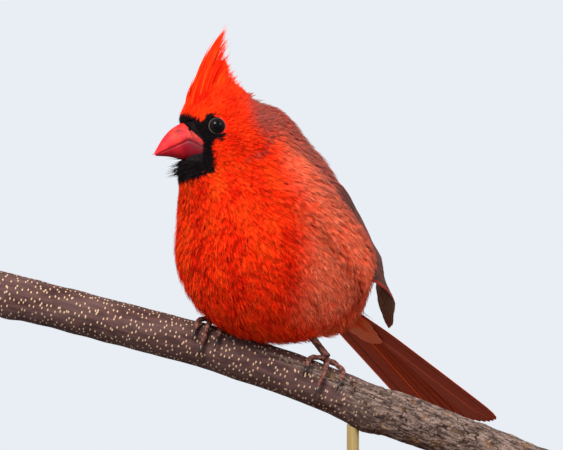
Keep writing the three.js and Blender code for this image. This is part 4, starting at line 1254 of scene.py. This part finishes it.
def on_perch(x, angle, height):
    x, angle, height = np.broadcast_arrays(np.asarray(x, float), np.asarray(angle, float), height)
    way = unit(perch_axis(x + 6) - perch_axis(x - 6))
    up = np.stack([-way[..., 2], 0 * x, way[..., 0]], -1)
    reach = (perch_radius(x, angle) + height)[..., None]
    turn = np.radians(angle)[..., None]
    return perch_axis(x) + (up * np.cos(turn) + np.array([0, -1.0, 0]) * np.sin(turn)) * reach


def cut_end(rim, inward):
    """Sawn face of the branch, with its growth rings."""
    centre = rim.mean(0)
    shares = np.linspace(1, 0.02, 24)
    points = (centre + shares[:, None, None] * (rim - centre)).reshape(-1, 3)
    faces = grid_faces(len(shares), len(rim))[:, ::-inward]
    radius = np.linalg.norm(points - centre, axis=1)
    marks = {key: 0 * radius for key in ("rough", "crack", "lengthwise", "arc", "ochre", "worn")}
    return points, faces, {**marks, "wood": smooth(9.3, 8.5, radius), "wood_r": radius}


def bark(columns=460, sides=120):
    """The branch: smooth bark that turns into cracked plates down its length, and two sawn ends."""
    first, last = PERCH_LINE[0][0], PERCH_LINE[-1][0]
    x = np.linspace(first, last, columns)[:, None]
    angle = (np.arange(sides) * 360 / sides)[None]
    turn = np.radians(angle)
    p = np.stack(np.broadcast_arrays(x, BARK_R * np.cos(turn), BARK_R * np.sin(turn)), -1)
    worn_band = np.exp(-((angle - 55) / 18) ** 2)
    rough = smooth(18, 46, x + 7 * (spots(p, 22, 3) - 0.5) + 42 * worn_band)
    ripple = spots(p * [0.5, 1, 1], 7, 11) - 0.5
    plates = spots(p * [0.55, 1.5, 1.5] + 1.3 * ripple[..., None], 4.4, 12)
    crack = 1 - smooth(0.0, 0.12, np.abs(plates - 0.48))
    grain = spots(p * [0.4, 2.2, 2.2], 2.6, 13) - 0.5
    height = -0.45 + 0.3 * ripple + rough * (0.5 * (plates - 0.5) - 0.5 * crack + 0.3 * grain) + 0.07 * grain
    height = np.clip(height, -1.4, 0.0) - 0.7 * smooth(0.8, 0.0, np.minimum(x - first, last - x))
    points = on_perch(x, angle, height).reshape(-1, 3)
    marks = {"rough": rough, "crack": crack * rough, "lengthwise": x,
             "arc": np.radians((angle + 120) % 360) * BARK_R,
             "ochre": rough * spots(p, 11, 17) * (0.6 + 0.5 * crack),
             "worn": spots(p * [0.35, 1, 1], 9, 19) * (1 - rough), "wood": 0 * x, "wood_r": 0 * x}
    marks = {key: np.broadcast_to(value, rough.shape).ravel() for key, value in marks.items()}
    ends = [cut_end(points[:sides], 1), cut_end(points[-sides:], -1)]
    points, triangles, marks = joined([(points, grid_faces(columns, sides), marks)] + ends)
    made = piece("perch_bark", (points, outward(points, triangles), marks), BARK)
    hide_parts("perch")


bark()


# Legs and feet
def sole_at(foot):
    return on_perch(foot["x"], 5, SOLE_R + GAP + 0.1)


def tarsus(foot, rows=66, sides=18):
    ankle = np.array(foot["ankle"])
    way = unit(ankle - sole_at(foot))
    bottom = sole_at(foot) + way * (SOLE_R * 0.3)
    top = ankle + way * 2.2
    s = np.linspace(0, 1, rows)
    scute = (s * 7) % 1
    swell = 1 + 0.1 * smooth(0, 0.16, scute) * (1 - scute) + 0.26 * np.abs(s - 0.42)
    points = bottom + (top - bottom) * s[:, None]
    return *tube(points, TARSUS_R * swell, sides), {"dusk": np.repeat(smooth(0.2, 0.0, scute), sides)}


def toe(foot, spread, start, stop, rows=46, sides=14):
    s = np.linspace(0, 1, rows)
    x = foot["x"] + spread * np.minimum(1, s * 1.7) ** 0.8
    arch = 0.9 * np.sin(math.pi * np.minimum(1, s * 1.15)) + 0.5 * np.abs(np.sin(3 * math.pi * s))
    points = on_perch(x, lerp(start, stop, s), TOE_R + 0.12 + arch * 0.6)
    scute = (s * 9) % 1
    r = TOE_R * (1.06 - 0.32 * s) * (1 + 0.1 * np.sin(3 * 2 * math.pi * s - 0.8))
    r = r * (0.96 + 0.1 * smooth(0, 0.2, scute) * (1 - scute))
    return *tube(points, r, sides), {"dusk": np.repeat(smooth(0.22, 0.0, scute), sides)}


def claw(foot, spread, stop, length, rows=20, sides=12):
    way = math.copysign(1, stop)
    reach = math.degrees(length / (PERCH_R[0] + 1)) * way
    s = np.linspace(0, 1, rows)
    height = 0.35 + 0.9 * (1 - s) + 1.5 * np.sin(math.pi * s)
    points = on_perch(foot["x"] + spread, stop - way * 1.5 + (reach + way * 1.5) * s, height)
    r = np.maximum(0.86 * (1 - s) ** 0.75, 0.09)
    return *tube(points, r, sides), {"dusk": np.repeat(s, sides)}


def legs():
    """For each leg a scaled shank, a foot with its sole and toes as one piece, and four claws."""
    for name, foot in FEET.items():
        made = piece("tarsus_skin_" + name, tarsus(foot), LEG)
        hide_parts("tarsus_" + name)
        pad, pad_faces, _ = ball(sole_at(foot), np.array([0, 0, 1.0]), SOLE_R * 0.92, 20, 24)
        parts = [(pad, pad_faces, {"dusk": np.zeros(len(pad))})]
        for digit, (start, stop, length) in DIGITS.items():
            spread = foot["toes"].get(digit, 0)
            parts.append(toe(foot, spread, start, stop))
            made = piece(f"claw_horn_{name}_{digit}", claw(foot, spread, stop, length), CLAW)
            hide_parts(f"claw_{name}_{digit}")
        made = piece("foot_skin_" + name, joined(parts), LEG)
        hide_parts("foot_" + name)


legs()


# Display stand
def dress(node, material):
    bpy.data.objects[node].material_slots[0].material = material


dress("stand_base", wood_material())
BRASS = brass_material()
for number in (1, 2):
    dress(f"stand_rod_{number}", BRASS)


# Floor, light and camera, in metres
FRAME_WIDTH = 0.2365
CAMERA_DISTANCE = 2.5
CAMERA_HEIGHT = 0.1361
SENSOR_WIDTH = 36
FLOOR_RADIUS = 0.95
FLOOR_HEIGHT = -0.0002
PALE = rgb(233, 238, 244)
LIGHT_AIM = np.array([0, 0, 0.12])
# Lights: place, size, watts and colour
LIGHTS = {
    "key": ((-0.6, -1.3, 1.3), 0.9, 54, (1.0, 0.98, 0.95)),
    "fill": ((1.3, -0.8, 0.9), 0.9, 11, (0.98, 0.98, 1.0)),
    "rim": ((1.1, 0.9, 1.0), 0.8, 10, (0.94, 0.97, 1.0)),
}


def floor(corners=96):
    turns = np.linspace(0, 2 * math.pi, corners, endpoint=False)
    rim = [(FLOOR_RADIUS * math.cos(a), FLOOR_RADIUS * math.sin(a), FLOOR_HEIGHT) for a in turns]
    mesh = bpy.data.meshes.new("floor")
    mesh.from_pydata(rim, [], [list(range(corners))])
    n = Nodes("floor_paper")
    paper = n.mix(n.noise(40), (134, 138, 144), (128, 132, 138))
    mesh.materials.append(n.finish(paper, 0.9, specular=0.1))
    placed("floor", mesh)


def area_light(name, place, size, watts, colour):
    light = bpy.data.lights.new(name, "AREA")
    light.shape = "DISK"
    light.size = size
    light.energy = watts
    light.color = colour
    made = placed(name, light)
    made.location = place
    aim = LIGHT_AIM - np.array(place)
    tilt = math.atan2(math.hypot(aim[0], aim[1]), -aim[2])
    made.rotation_euler = (tilt, 0, math.atan2(aim[1], aim[0]) - math.pi / 2)


def world():
    made = bpy.data.worlds.new("pale_sky")
    made.use_nodes = True
    sky = made.node_tree.nodes["Background"]
    sky.inputs["Color"].default_value = PALE
    sky.inputs["Strength"].default_value = 1.0
    bpy.context.scene.world = made


def camera():
    lens = bpy.data.cameras.new("camera")
    lens.sensor_width = SENSOR_WIDTH
    lens.lens = SENSOR_WIDTH * CAMERA_DISTANCE / FRAME_WIDTH
    lens.clip_end = 20
    made = placed("camera", lens)
    made.location = (0, -CAMERA_DISTANCE, CAMERA_HEIGHT)
    made.rotation_euler = (math.pi / 2, 0, 0)
    bpy.context.scene.camera = made


floor()
world()
for name, settings in LIGHTS.items():
    area_light(name, *settings)
camera()
bpy.context.scene.view_settings.view_transform = "Standard"
